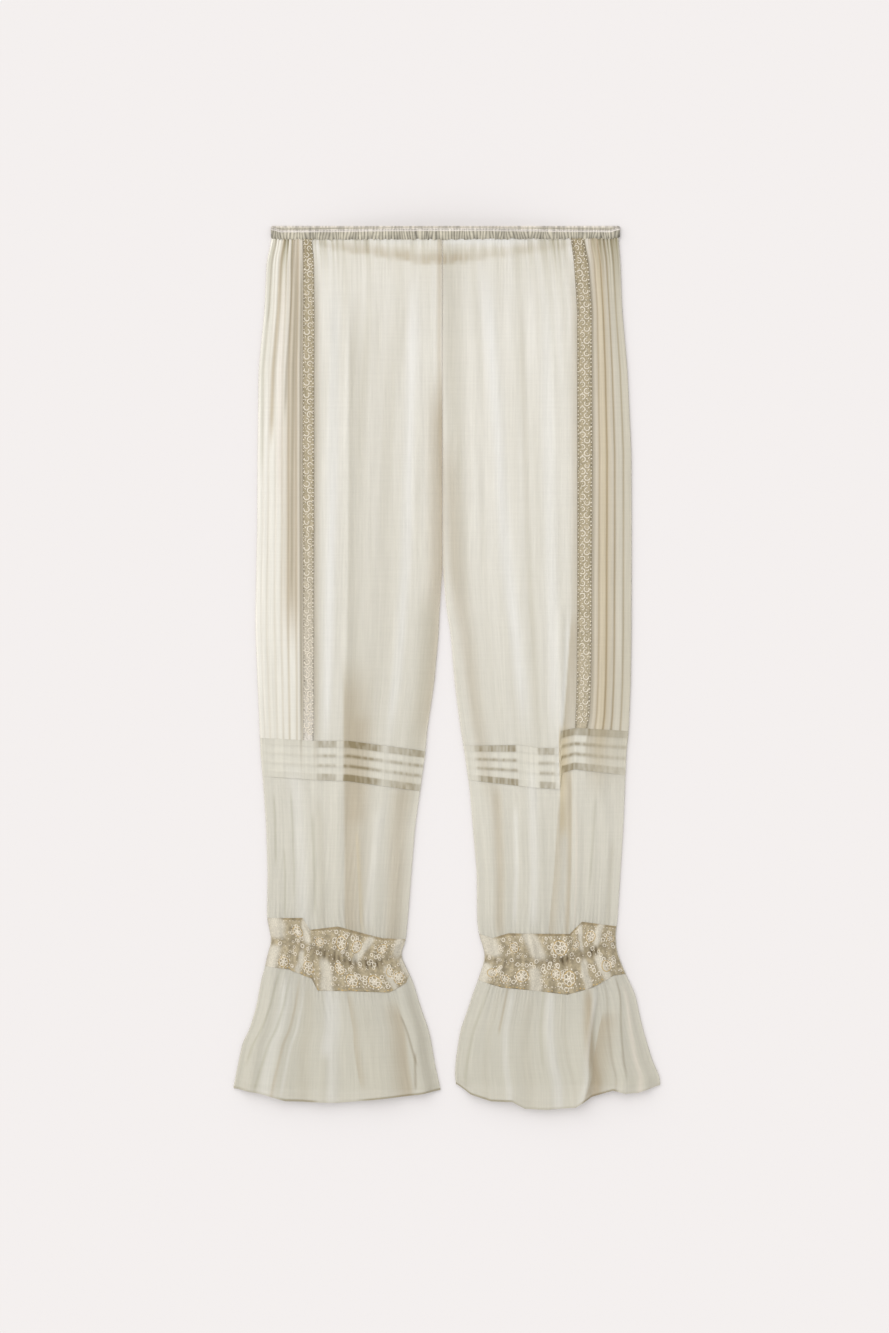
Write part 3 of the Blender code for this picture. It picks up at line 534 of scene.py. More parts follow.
def swell(distance: Array, reach: Number) -> Array:
    """Return a soft bump: 1 at no distance, 0 at reach and beyond."""
    return np.cos(np.minimum(1.0, np.abs(distance) / reach) * math.pi / 2) ** 2


def read_line(line: Sequence, places: Array) -> Array:
    """Read values off a line of (place, value) points, level beyond both ends."""
    return np.interp(places, [point[0] for point in line], [point[1] for point in line])


def toned(value: Array, powers: tuple[float, float, float]) -> Array:
    """Spread a lightness over red, green and blue, each of which darkens at its own rate."""
    return value[:, None] ** np.array(powers)


def drift(across: Array, down: Array, width: float, length: float, seed: int) -> Array:
    """Return soft seeded noise from -1 to 1.

    Args:
        across: Places across the cloth, in millimetres.
        down: Places down the cloth, in millimetres.
        width: How wide one swell of the noise is.
        length: How long one swell of the noise is.
        seed: Which noise to take.

    Returns:
        The noise at each place.
    """
    cells = np.random.default_rng(seed).uniform(-1.0, 1.0, (512, 128))
    u, v = across / width + 200.0, down / length + 20.0
    i, j = np.floor(u).astype(int), np.floor(v).astype(int)
    s, t = ease(u - i), ease(v - j)
    i, j = i % 511, j % 127
    upper = mix(cells[i, j], cells[i + 1, j], s)
    lower = mix(cells[i, j + 1], cells[i + 1, j + 1], s)
    return mix(upper, lower, t)


def linear(colour: str) -> tuple[float, float, float]:
    """Turn an sRGB hex colour into linear values."""
    channels = [int(colour[place : place + 2], 16) / 255 for place in (0, 2, 4)]
    return tuple(((c + 0.055) / 1.055) ** 2.4 if c > 0.04045 else c / 12.92 for c in channels)


def edge(leg: Leg, column: str, down: Array) -> Array:
    """Return where an edge of a leg lies, with its corners softened.

    Args:
        leg: The leg.
        column: The name of the edge's column.
        down: Levels on the leg.

    Returns:
        The edge's x at each level.
    """
    rows = list(leg.panel)
    if column in ("outer", "inner"):
        rows += leg.tube
    line = [(row.down, getattr(row, column)) for row in rows]
    return sum(read_line(line, down + shift) for shift in (-5.0, 0.0, 5.0)) / 3.0


def leg_x(leg: Leg, across: Array, down: Array) -> Array:
    """Return the x of places on a leg, between the beginnings of its two folds.

    Args:
        leg: The leg.
        across: Places across the leg.
        down: The level of each place.

    Returns:
        The x of each place, led by the lace above the knee and even across below it.
    """
    outer = edge(leg, "outer", down) - leg.outward * FOLD_RADIUS
    inner = edge(leg, "inner", down) + leg.outward * FOLD_RADIUS
    lace_outer, lace_inner = edge(leg, "lace_outer", down), edge(leg, "lace_inner", down)
    by_lace = np.where(
        across < LACE_OUTER,
        mix(outer, lace_outer, across / LACE_OUTER),
        np.where(
            across < LACE_INNER,
            mix(lace_outer, lace_inner, (across - LACE_OUTER) / (LACE_INNER - LACE_OUTER)),
            mix(lace_inner, inner, (across - LACE_INNER) / (1.0 - LACE_INNER)),
        ),
    )
    return mix(by_lace, mix(outer, inner, across), ease((down - KNEE_START) / KNEE_REACH))


def waist_share(x: Array) -> Array:
    """Return how far across the whole waist an x lies, from 0 to 1."""
    return np.clip((x - WAIST_LEFT) / (WAIST_RIGHT - WAIST_LEFT), 0.0, 1.0)


def arch(x: Array, down: Array) -> Array:
    """Return how far the front is lifted toward the waist's arch."""
    fade = 1.0 - ease((down - WAIST_SEAM) / ARCH_FADE)
    return ARCH_HEIGHT * np.sin(waist_share(x) * math.pi) ** 2 * fade


def run_of(ridge: Fold | Stroke, down: Array) -> tuple[Array, Array]:
    """Follow a long fold or stroke down a leg.

    Args:
        ridge: The fold or stroke.
        down: The level of each place.

    Returns:
        Where its middle lies across at each level, and how strong it is there.
    """
    share = (down - ridge.down_top) / (ridge.down_bottom - ridge.down_top)
    ends = ease(np.minimum(6.0 * share, 6.0 * (1.0 - share)))
    return mix(ridge.across_top, ridge.across_bottom, np.clip(share, 0.0, 1.0)), ends


def folds(leg: Leg, across: Array, down: Array) -> Array:
    """Add up the soft folds on the front of a leg.

    Args:
        leg: The leg.
        across: Places across the leg.
        down: The level of each place.

    Returns:
        How high the cloth stands at each place.
    """
    total = np.zeros_like(down)
    for fold in leg.folds:
        centre, ends = run_of(fold, down)
        total += FOLD_SHARE * fold.height * ends * swell(across - centre, fold.half_width)
    return total


def leg_line(line: Sequence[Knot], across: Array, turn: Array) -> Array:
    """Return the level of a line round a leg, which runs straight over the back."""
    straight = mix(line[0].down, line[-1].down, across)
    return mix(read_line(line, across), straight, turn)


def band_line(leg: Leg, across: Array, turn: Array) -> Array:
    """Return the level of the waist seam under the band."""
    share = waist_share(leg_x(leg, across, np.full_like(across, WAIST_SEAM)))
    return mix(read_line(BAND_FRONT_BOTTOM, share), BACK_BAND_BOTTOM, turn)


def paint(leg: Leg, across: Array, down: Array) -> Array:
    """Lay a leg's painted highlights, painted shade and doubled-cloth tones over each other.

    Args:
        leg: The leg.
        across: Places across the leg.
        down: The level of each place.

    Returns:
        The colour of the cloth at each place, in linear red, green and blue.
    """
    colour = toned(read_line(LEVEL_SHADE, down), LEVEL_POWERS) * WARMTH
    for stroke in leg.strokes:
        centre, ends = run_of(stroke, down)
        reach = np.where(across < centre, stroke.outward, stroke.inward)
        share = stroke.strength * ends * swell(across - centre, reach)
        # Painted highlights keep the whiter colour of the finish
        warmth = 1.0 if stroke.tint is Tint.PALE else np.array(WARMTH)
        colour += (warmth * np.array(linear(stroke.tint.value)) - colour) * share[:, None]
    return colour


class Grid(NamedTuple):
    """Places of one piece's grid: one value for each of its points."""

    across: Array
    turn: Array
    row: Array

    def front(self) -> Array:
        """Return which places lie on the front."""
        return self.turn < 0.01

    def inward(self) -> Array:
        """Return how far across each place lies from the nearer fold."""
        return np.minimum(self.across, 1.0 - self.across)


class Place(NamedTuple):
    """Where the points of a piece lie, in millimetres."""

    x: Array
    down: Array
    height: Array

    def points(self) -> Array:
        """Return the points in metres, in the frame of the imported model."""
        rows = (self.x - MIDDLE_X, TOTAL_LENGTH / 2 - self.down, self.height)
        return np.stack(rows, axis=1) * MM


def node(tree: bpy.types.NodeTree, kind: str, settings: dict, links: dict) -> bpy.types.Node:
    """Add a node with its settings and links.

    Args:
        tree: The material's node tree.
        kind: The node's type.
        settings: Values of its properties, or of its sockets where the name is one.
        links: Output sockets to join to its input sockets, by name or place.

    Returns:
        The new node.
    """
    made = tree.nodes.new(kind)
    for name, value in settings.items():
        if isinstance(name, int) or name in made.inputs:
            made.inputs[name].default_value = value
        else:
            setattr(made, name, value)
    for name, socket in links.items():
        tree.links.new(socket, made.inputs[name])
    return made


@dataclass(frozen=True)
class Cloth:
    """A thin woven cloth whose tint and cover are painted on its points.

    Cover is how much of what lies under it the cloth hides. A thread is drawn as wide and a slub
    as long as the fields say, in millimetres. Contrast is how much lighter threads are than the
    gaps between them, and relief how strongly they catch the light. The threads' noise runs from
    its low to its high value, and depth is how deep it is, in millimetres.
    """

    name: str
    colour: str
    cover: float
    roughness: float = 0.9
    sheen: float = 0.15
    specular: float = 0.25
    thread: float = 1.9
    slub: float = 60.0
    weft: float = 0.45
    contrast: float = 0.085
    relief: float = 0.2
    depth: float = 0.4
    noise_low: float = 0.42
    noise_high: float = 1.03

    def material(self) -> bpy.types.Material:
        """Make the cloth's material: two crossed threads' noise over the painted tints.

        Returns:
            The material.
        """
        made = bpy.data.materials.new(self.name)
        made.use_nodes = True
        tree = made.node_tree
        shader = tree.nodes["Principled BSDF"]
        shader.inputs["Roughness"].default_value = self.roughness
        shader.inputs["Sheen Weight"].default_value = self.sheen
        shader.inputs["Specular IOR Level"].default_value = self.specular
        uv = node(tree, "ShaderNodeUVMap", {"uv_map": "cloth"}, {}).outputs["UV"]
        weave = []
        for width, length in ((self.thread, self.slub), (self.slub, self.thread)):
            scale = (1.0 / (width * MM), 1.0 / (length * MM), 1.0)
            mapping = node(tree, "ShaderNodeMapping", {"Scale": scale}, {"Vector": uv})
            noise = node(
                tree,
                "ShaderNodeTexNoise",
                {"Scale": 1.0, "Detail": 2.0, "Roughness": 0.6},
                {"Vector": mapping.outputs[0]},
            )
            weave.append(noise.outputs["Fac"])
        threads = node(
            tree,
            "ShaderNodeMath",
            {"operation": "MULTIPLY_ADD", 1: self.weft},
            {0: weave[1], 2: weave[0]},
        ).outputs[0]
        value = node(
            tree,
            "ShaderNodeMapRange",
            {
                "From Min": self.noise_low,
                "From Max": self.noise_high,
                "To Min": 1.0 - self.contrast,
                "To Max": 1.0 + self.contrast / 2,
            },
            {"Value": threads},
        ).outputs[0]
        tint = node(tree, "ShaderNodeVertexColor", {"layer_name": "tint"}, {})
        base = node(
            tree,
            "ShaderNodeMix",
            {"data_type": "RGBA", "blend_type": "MULTIPLY", 0: 1.0, 7: (*linear(self.colour), 1.0)},
            {6: tint.outputs["Color"]},
        ).outputs[2]
        woven = node(
            tree,
            "ShaderNodeVectorMath",
            {"operation": "SCALE"},
            {0: base, "Scale": value},
        ).outputs[0]
        tree.links.new(woven, shader.inputs["Base Color"])
        cover = node(
            tree,
            "ShaderNodeMath",
            {"operation": "MULTIPLY", 1: self.cover, "use_clamp": True},
            {0: tint.outputs["Alpha"]},
        ).outputs[0]
        tree.links.new(cover, shader.inputs["Alpha"])
        bump = node(
            tree,
            "ShaderNodeBump",
            {"Strength": self.relief, "Distance": self.depth * MM},
            {"Height": threads},
        )
        tree.links.new(bump.outputs[0], shader.inputs["Normal"])
        return made


@dataclass(frozen=True)
class Thread:
    """Embroidery thread, whose twist shows as a fine grain, so many to the metre."""

    name: str
    colour: str
    roughness: float = 0.55
    metallic: float = 0.0
    grain: float = 700.0
    shaded: float = 0.80
    relief: float = 0.4
    depth: float = 0.3

    def material(self) -> bpy.types.Material:
        """Make the thread's material: a fine grain in its colour and its relief.

        Returns:
            The material.
        """
        made = bpy.data.materials.new(self.name)
        made.use_nodes = True
        tree = made.node_tree
        shader = tree.nodes["Principled BSDF"]
        shader.inputs["Roughness"].default_value = self.roughness
        shader.inputs["Metallic"].default_value = self.metallic
        place = node(tree, "ShaderNodeTexCoord", {}, {}).outputs["Object"]
        twist = node(
            tree, "ShaderNodeTexNoise", {"Scale": self.grain, "Detail": 2.0}, {"Vector": place}
        )
        ramp = node(tree, "ShaderNodeValToRGB", {}, {"Fac": twist.outputs["Fac"]})
        bright = linear(self.colour)
        ramp.color_ramp.elements[0].color = (*[self.shaded * c for c in bright], 1.0)
        ramp.color_ramp.elements[1].color = (*bright, 1.0)
        tree.links.new(ramp.outputs["Color"], shader.inputs["Base Color"])
        bump = node(
            tree,
            "ShaderNodeBump",
            {"Strength": self.relief, "Distance": self.depth * MM},
            {"Height": twist.outputs["Fac"]},
        )
        tree.links.new(bump.outputs[0], shader.inputs["Normal"])
        return made


class Stitch(NamedTuple):
    """Where a shape of thread is sewn, in millimetres on the cloth, how turned and how large."""

    across: float
    down: float
    turn: float
    size: float


def thread_loop(
    radius: float, thickness: float, steps: int = 8, sides: int = 4, sweep: float = 1.0
) -> bpy.types.Mesh:
    """Make a loop of raised thread by turning a small circle round a middle.

    Args:
        radius: The loop's radius.
        thickness: The thread's radius.
        steps: How many steps the loop has.
        sides: How many sides the thread has.
        sweep: How much of a whole turn the loop makes.

    Returns:
        The loop's mesh, in millimetres.
    """
    bm = bmesh.new()
    stand = Matrix.Translation((radius, 0.0, 0.0)) @ Matrix.Rotation(math.pi / 2, 4, "X")
    bmesh.ops.create_circle(bm, segments=sides, radius=thickness, matrix=stand)
    bmesh.ops.spin(
        bm,
        geom=bm.verts[:] + bm.edges[:],
        cent=(0.0, 0.0, 0.0),
        axis=(0.0, 0.0, 1.0),
        angle=2.0 * math.pi * sweep,
        steps=steps,
        use_merge=sweep == 1.0,
    )
    bmesh.ops.holes_fill(bm, edges=[rim for rim in bm.edges if rim.is_boundary])
    bmesh.ops.remove_doubles(bm, verts=bm.verts, dist=1e-4)
    bmesh.ops.recalc_face_normals(bm, faces=bm.faces)
    made = bpy.data.meshes.new("thread loop")
    bm.to_mesh(made)
    bm.free()
    return made


def thread_knot(length: float, width: float, height: float, sides: int = 6) -> bpy.types.Mesh:
    """Make a low closed knot of thread.

    Args:
        length: How long it is.
        width: How wide it is.
        height: How high it is.
        sides: How many sides it has.

    Returns:
        The knot's mesh, in millimetres.
    """
    bm = bmesh.new()
    bmesh.ops.create_cone(
        bm, cap_ends=True, segments=sides, radius1=0.5, radius2=0.28, depth=1.0
    )
    bmesh.ops.scale(bm, verts=bm.verts, vec=(length, width, height))
    made = bpy.data.meshes.new("thread knot")
    bm.to_mesh(made)
    bm.free()
    return made


class Embroidery:
    """Many small shapes of thread, laid on a cloth as one piece."""

    def __init__(self, name: str, slot: str, finish: Thread, lay: Callable[[Array], Array]) -> None:
        """Start an empty piece.

        Args:
            name: The piece's name.
            slot: The name of a material slot, kept but not used.
            finish: Its thread.
            lay: What turns millimetres on the cloth (across, down, lift) into points.
        """
        self.name, self.slot, self.finish, self.lay = name, slot, finish, lay
        self.bm = bmesh.new()
        self.flat: list[Array] = []

    def sew(self, shape: bpy.types.Mesh, stitches: Sequence[Stitch]) -> None:
        """Sew one shape at many places.

        Args:
            shape: The shape's mesh, in millimetres.
            stitches: Where it is sewn.
        """
        points = np.empty(len(shape.vertices) * 3)
        shape.vertices.foreach_get("co", points)
        points = points.reshape(-1, 3)
        for stitch in stitches:
            self.bm.from_mesh(shape)
            cos, sin = math.cos(stitch.turn) * stitch.size, math.sin(stitch.turn) * stitch.size
            across = stitch.across + points[:, 0] * cos - points[:, 1] * sin
            down = stitch.down + points[:, 0] * sin + points[:, 1] * cos
            self.flat.append(np.stack([across, down, points[:, 2]], axis=1))

    def build(self) -> bpy.types.Object:
        """Lay all the shapes on the cloth and dress them.

        Returns:
            The piece.
        """
        for vert, point in zip(self.bm.verts, self.lay(np.concatenate(self.flat))):
            vert.co = point
        bmesh.ops.recalc_face_normals(self.bm, faces=self.bm.faces)
        for face in self.bm.faces:
            face.smooth = True
        made = finish_mesh(self.bm, self.name, self.finish.material())
        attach(made, "root")
        LOG.info("%s: %d faces", self.name, len(made.data.polygons))
        return made


# Plain cotton voile, a sheer weave of fine hard-twisted threads. It has no gloss, what lies under
# it shows through, and thicker threads show as soft upright streaks about 60 mm long. Its threads
# stand 0.3 mm apart, which is too fine to show, so they are drawn 1.9 mm wide.
VOILE = Cloth("ivory cotton voile", "F9F8F5", 0.62)

# The same voile on the back, where it lies flat on the floor
BACK_VOILE = Cloth("ivory cotton voile, back", "F9F8F5", 0.62)

# Voile stitched into pintucks: it lies doubled, so it is paler and hides more of what is under it
TUCKED = Cloth("pintucked cotton voile", "FCFBF9", 0.84)

# Voile gathered tight over elastic: its colour is painted darker and streaked for the shade that
# its folds throw on each other, and nothing shows through
CASING = Cloth("gathered voile casing", "C6BFAF", 0.97, contrast=0.22, relief=0.5)

# Voile with stitched crosswise tucks, between single and double
STRIPED = Cloth("tucked knee band voile", "F7F6F2", 0.72)

# Twisted cotton net, darned all over: a mottled tan ground of tiny holes. Its holes are 0.6 mm
# wide, which is too fine to show, so they are drawn 1.2 mm wide and 2 mm long.
LACE_NET = Cloth(
    "tan cotton net", "B6A98F", 0.94, thread=1.2, slub=2.0, contrast=0.4, relief=0.8
)

# The same net in gathers, whose colour is painted on, since folds of voile cover part of it
CUFF_NET = Cloth(
    "gathered cotton net", "FFFFFF", 0.94, thread=1.2, slub=2.0, contrast=0.3, relief=0.8
)

# Mercerised cotton: full rounded strands with a silky gloss. Their twists stand 0.6 mm apart,
# which is too fine to show, so the grain is drawn 1.4 mm wide.
CREAM_THREAD = Thread("cream embroidery cotton", "EDE4D3")

# Thread wrapped with a pale metallic film, which glints a little more and looks warmer
GOLD_THREAD = Thread("pale gold embroidery thread", "CDB27C", 0.4, 0.2)


# Places round a leg, each by its across and its turn
Spots = list[tuple[float, float]]


@dataclass
class Sheet:
    """One piece of cloth, made as a grid whose points are laid on the garment."""

    name: str
    replaced: str
    slot: str
    finish: Cloth
    spots: Spots
    rows: Array
    place: Callable[[Grid], Place]
    colour: Callable[[Grid, Place], Array]
    wall: float = SHEER_WALL
    fold_highlight_and_fade: float = 0.72
    object: bpy.types.Object = field(default=None, init=False)

    def build(self) -> None:
        """Make the grid, lay it on the garment and give it its wall."""
        steps, levels = len(self.spots) - 1, len(self.rows) - 1
        spots = np.array(self.spots)
        bm = bmesh.new()
        bmesh.ops.create_grid(bm, x_segments=steps, y_segments=levels, size=0.5)
        bm.verts.ensure_lookup_table()
        flat = np.array([vert.co[:2] for vert in bm.verts]) + 0.5
        column = np.rint(flat[:, 0] * steps).astype(int)
        level = np.rint(flat[:, 1] * levels).astype(int)
        grid = Grid(spots[column, 0], spots[column, 1], self.rows[level])
        laid = self.place(grid)
        points = laid.points()
        tint_layer = bm.verts.layers.float_color.new("tint")
        tints = self.colour(grid, laid)
        # Folded edges get a painted highlight and cover less
        turned = np.sin(grid.turn * math.pi)
        tints[:, :3] *= (1.0 + 0.30 * self.fold_highlight_and_fade * turned)[:, None]
        tints[:, 3] *= 1.0 - self.fold_highlight_and_fade * turned
        for vert, point, tint in zip(bm.verts, points, tints):
            vert.co = point
            vert[tint_layer] = tint
        self._unroll(bm, column, level, points)
        bm.normal_update()
        upward = np.where(grid.turn < 0.5, 1.0, -1.0)
        facing = sum(
            face.normal.z * face.calc_area() * upward[face.verts[0].index] for face in bm.faces
        )
        if facing < 0.0:
            bmesh.ops.reverse_faces(bm, faces=bm.faces)
        bmesh.ops.remove_doubles(bm, verts=bm.verts, dist=MM * 0.01)
        for face in bm.faces:
            face.smooth = True
        for side in bm.edges:
            side.smooth = not side.is_boundary
        self.object = finish_mesh(bm, self.name, self.finish.material())
        solidify = self.object.modifiers.new("Wall", "SOLIDIFY")
        solidify.thickness = self.wall * MM
        solidify.offset = -1.0

    def _unroll(self, bm: bmesh.types.BMesh, column: Array, level: Array, points: Array) -> None:
        """Give the cloth a flat map in metres, measured along its middle row.

        Args:
            bm: The cloth's mesh.
            column: The column of each point.
            level: The row of each point.
            points: Where the points lie, in metres.
        """
        order = np.argsort(column)
        middle = [i for i in order if level[i] == len(self.rows) // 2]
        steps = np.linalg.norm(np.diff(points[middle], axis=0), axis=1)
        along = np.concatenate([[0.0], np.cumsum(steps)])
        uv_layer = bm.loops.layers.uv.new("cloth")
        for face in bm.faces:
            for loop in face.loops:
                index = loop.vert.index
                loop[uv_layer].uv = (along[column[index]], -points[index][1])

    def dress(
        self,
        flat: tuple[float, float],
        held: str,
        rests_on: Sequence[str | bpy.types.Object],
        extras: Sequence[bpy.types.Object] = (),
    ) -> None:
        """Hang the piece on the root, hide the part that it replaces and log its faces.

        Args:
            flat: Width and length of the cut, in metres; not used.
            held: How the cloth is held; not used.
            rests_on: What it lies on or hangs from; not used.
            extras: Separate pieces on it; not used.
        """
        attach(self.object, "root")
        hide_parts(self.replaced)
        LOG.info("%s: %d faces", self.name, len(self.object.data.polygons))


def finish_mesh(
    bm: bmesh.types.BMesh, name: str, material: bpy.types.Material
) -> bpy.types.Object:
    """Turn a bmesh into an object of the scene, with its material.

    Args:
        bm: The mesh, which is freed.
        name: The object's name.
        material: Its material.

    Returns:
        The new object.
    """
    mesh = bpy.data.meshes.new(name)
    bm.to_mesh(mesh)
    bm.free()
    mesh.materials.append(material)
    made = bpy.data.objects.new(name, mesh)
    bpy.context.scene.collection.objects.link(made)
    return made


def front_spots(start: float, end: float, steps: int) -> Spots:
    """Return evenly spaced spots on the front of a leg."""
    return [(mix(start, end, step / steps), 0.0) for step in range(steps + 1)]


def fold_spots(across: float, start: float, end: float, steps: int) -> Spots:
    """Return the spots round a fold of a leg, without the first."""
    return [(across, mix(start, end, (step + 1) / steps)) for step in range(steps)]


def back_spots(start: float, end: float, steps: int) -> Spots:
    """Return evenly spaced spots on the back of a leg, without the first."""
    return [(mix(start, end, (step + 1) / steps), 1.0) for step in range(steps)]


def ring_spots(front: int, back: int, arc: int = 6) -> Spots:
    """Return the spots round a flattened tube, over the front and home along the back.

    Args:
        front: How many steps the front has.
        back: How many steps the back has.
        arc: How many steps each fold has.

    Returns:
        The spots.
    """
    return (
        front_spots(0.0, 1.0, front)
        + fold_spots(1.0, 0.0, 1.0, arc)
        + back_spots(1.0, 0.0, back)
        + fold_spots(0.0, 1.0, 0.0, arc)
    )


def wrap(leg: Leg, grid: Grid, down: Array, relief: Array) -> Place:
    """Lay places on a flattened leg, whose front stands up by a relief.

    Args:
        leg: The leg.
        grid: Places of the piece.
        down: The level of each place.
        relief: How far each place of the front stands over its flat state.

    Returns:
        Where the places lie.
    """
    x = leg_x(leg, grid.across, down)
    side = np.where(grid.across < 0.5, leg.outward, -leg.outward)
    x = x + side * FOLD_RADIUS * np.sin(grid.turn * math.pi)
    height = FOLD_RADIUS * (1.0 + np.cos(grid.turn * math.pi))
    return Place(x, down, height + relief * grid.front())


def millimetres(across: Array) -> Array:
    """Return about how far across a leg a place lies, in millimetres."""
    return across * LEG_WIDTH


def crinkle(leg: Leg, across: Array, down: Array, strength: float) -> Array:
    """Work out the fine creases that run down the cloth.

    Args:
        leg: The leg.
        across: Places across the leg.
        down: The level of each place.
        strength: How strong they are.

    Returns:
        How far the cloth stands out or in at each place.
    """
    wide = millimetres(across)
    lean = 6.0 * drift(wide * 0.0, down, 10.0, 160.0, leg.seed + 5)
    fine = drift(wide + lean, down, 3.2, 90.0, leg.seed)
    broad = drift(wide + lean, down, 9.0, 170.0, leg.seed + 1)
    return strength * (0.45 * fine + 0.8 * broad)


def with_cover(colour: Array, cover: Array) -> Array:
    """Join a colour and how much the cloth covers into one value for each point."""
    return np.concatenate([colour, np.broadcast_to(cover, (len(colour),))[:, None]], axis=1)


@dataclass
class UpperLeg:
    """A leg between the waist seam and the knee band: front, back, pintucked side and lace."""

    leg: Leg
    tuck_height: float = 0.45
    tuck_steps: int = 9
    rows: int = 150
    gather_pitch: float = 3.44
    gather_reach: float = 42.0
    lace_pitch: float = 7.2
    dot_pitch: float = 4.6
    sewn_length: float = 564.0
    lace_lift: float = 0.7
    mottle_width: float = 400.0
    crinkles: float = 0.28
    crotch: float = 425.0
    curl_turn: float = 0.47
    # The painted shadow's tint, which also darkens the centre seam
    shadow_and_seam_tint: str = "D8CCB8"

    def level(self, grid: Grid) -> Array:
        """Return the level of each place, between the waist seam and the knee band.

        Args:
            grid: Places of the piece.

        Returns:
            The level of each place.
        """
        top = band_line(self.leg, grid.across, grid.turn) + SEAM_GAP / 2
        bottom = leg_line(self.leg.knee_top, grid.across, grid.turn) - SEAM_GAP / 2
        return mix(top, bottom, grid.row)

    def gathers(self, grid: Grid, down: Array) -> Array:
        """Work out the ripples that run out of the waistband.

        Args:
            grid: Places of the piece.
            down: The level of each place.

        Returns:
            How far each place is up a ripple, from 0 to 1.
        """
        x = leg_x(self.leg, grid.across, down)
        wide = millimetres(grid.across)
        reach = self.gather_reach * (0.65 + 0.5 * drift(wide, down * 0.0, 9.0, 50.0, 71))
        fade = np.exp(-np.maximum(down - 15.0, 0.0) / reach)
        wander = 0.8 * drift(wide, down, 12.0, 30.0, 72)
        return fade * (0.5 + 0.5 * np.cos((x + wander) / self.gather_pitch * 2.0 * math.pi))

    def tuck(self, across: Array) -> Array:
        """Work out the pintucks' rounded ridges.

        Args:
            across: Places across the leg.

        Returns:
            How high the cloth stands, as a share of a whole tuck.
        """
        valleys = self.leg.tucks
        share = np.interp(across, valleys, range(len(valleys))) % 1.0
        inside = across < LACE_OUTER
        profile = np.interp(share, (0.0, 0.12, 0.3, 0.75, 1.0), (0.0, 0.75, 1.0, 0.7, 0.0))
        return profile * inside

    def relief(self, grid: Grid, down: Array) -> Array:
        """Add up what lifts the front: the arch, folds, gathers and creases.

        Args:
            grid: Places of the piece.
            down: The level of each place.

        Returns:
            How high each place stands over its flat state.
        """
        x = leg_x(self.leg, grid.across, down)
        total = arch(x, down) + folds(self.leg, grid.across, down)
        total = total + 0.9 * self.gathers(grid, down)
        seam_fade = ease((1.0 - grid.across) / 0.02)
        return total + seam_fade * crinkle(self.leg, grid.across, down, self.crinkles)

    def plain_colour(self, grid: Grid, laid: Place) -> Array:
        """Tint the plain cloth, with painted light and shade in its gathers, streaks and creases.

        Args:
            grid: Places of the piece.
            laid: Where those places lie.

        Returns:
            A tint and a cover for each place.
        """
        colour = paint(self.leg, grid.across, laid.down)
        wide = millimetres(grid.across)
        # Painted light and shade in the gathers under the band, fading downward
        side = 1.0 - np.sin(waist_share(laid.x) * math.pi) ** 0.7
        below = np.maximum(laid.down - 13.0, 0.0)
        near = np.exp(-below / mix(11.0, 38.0, side))
        streaks = drift(wide, laid.down * 0.4, 2.3, 60.0, self.leg.seed + 16)
        streaks = streaks + 0.5 * drift(wide, laid.down * 0.4, 5.5, 60.0, self.leg.seed + 17)
        depth = mix(0.07, 0.16, side) + mix(0.28, 0.62, side) * streaks
        gathered = 1.0 - near * np.clip(depth, -0.10, 0.6)
        gathered = gathered - 0.12 * (1.0 - self.gathers(grid, laid.down)) * np.exp(-below / 20.0)
        # Painted streaks of light and shade fanning down, and along the creases
        fan = drift(wide + 0.05 * laid.down, laid.down, 6.5, 130.0, self.leg.seed + 18)
        fanned = 1.0 + 0.075 * fan * np.exp(-below / 200.0)
        crease_shading = 1.0 + 0.03 * crinkle(self.leg, grid.across, laid.down, 1.0)
        shade = gathered * fanned * crease_shading
        return with_cover(colour * toned(shade, GATHER_POWERS), np.ones(len(colour)))

    def band_shadow(self, x: Array, down: Array) -> Array:
        """Find the low arc of shade under the raised band.

        Args:
            x: The x of each place.
            down: The level of each place.

        Returns:
            How deep in the shade each place lies, from 0 to 1.
        """
        lower = read_line(SHADOW_LOWER, x)
        upper = read_line(SHADOW_UPPER, x)
        ragged = 1.2 * drift(x, down * 0.0, 7.0, 60.0, self.leg.seed + 19)
        within = ease((down - upper + 3.0 + ragged) / 12.0)
        within = within * (1.0 - ease((down - lower + ragged) / 5.0))
        streak = 0.78 + 0.40 * drift(x, down, 3.0, 60.0, self.leg.seed + 9)
        streak = streak + 0.16 * drift(x, down, 11.0, 60.0, self.leg.seed + 21)
        return np.clip(within * streak, 0.0, 1.0)

    def front_colour(self, grid: Grid, laid: Place) -> Array:
        """Tint the front, with the band's painted shadow, a painted highlight above it and the
        centre seam.

        Args:
            grid: Places of the piece.
            laid: Where those places lie.

        Returns:
            A tint and a cover for each place.
        """
        colour = self.plain_colour(grid, laid)
        shade = np.array(linear(self.shadow_and_seam_tint))
        share = read_line(SHADOW_STRENGTH, laid.x) * self.band_shadow(laid.x, laid.down)
        # Paint a highlight on the strip under the band, where light falls through the open waist
        pale = read_line(STRIP_PAINTED_LIGHT, laid.x) * (1.0 - ease((laid.down - 20.0) / 7.0))
        colour[:, :3] += (0.97 - colour[:, :3]) * pale[:, None]
        seam = swell(laid.x - read_line(CENTRE_SEAM_X, laid.down), 5.5)
        seam = seam * (1.0 - ease((laid.down - self.crotch + 5.0) / 40.0))
        seam = seam * read_line(CENTRE_SEAM_STRENGTH, laid.down)
        # The same tint paints the band's shadow and darkens the seam
        for strength in (share, seam):
            colour[:, :3] *= mix(np.ones(3), shade, strength[:, None])
        return colour

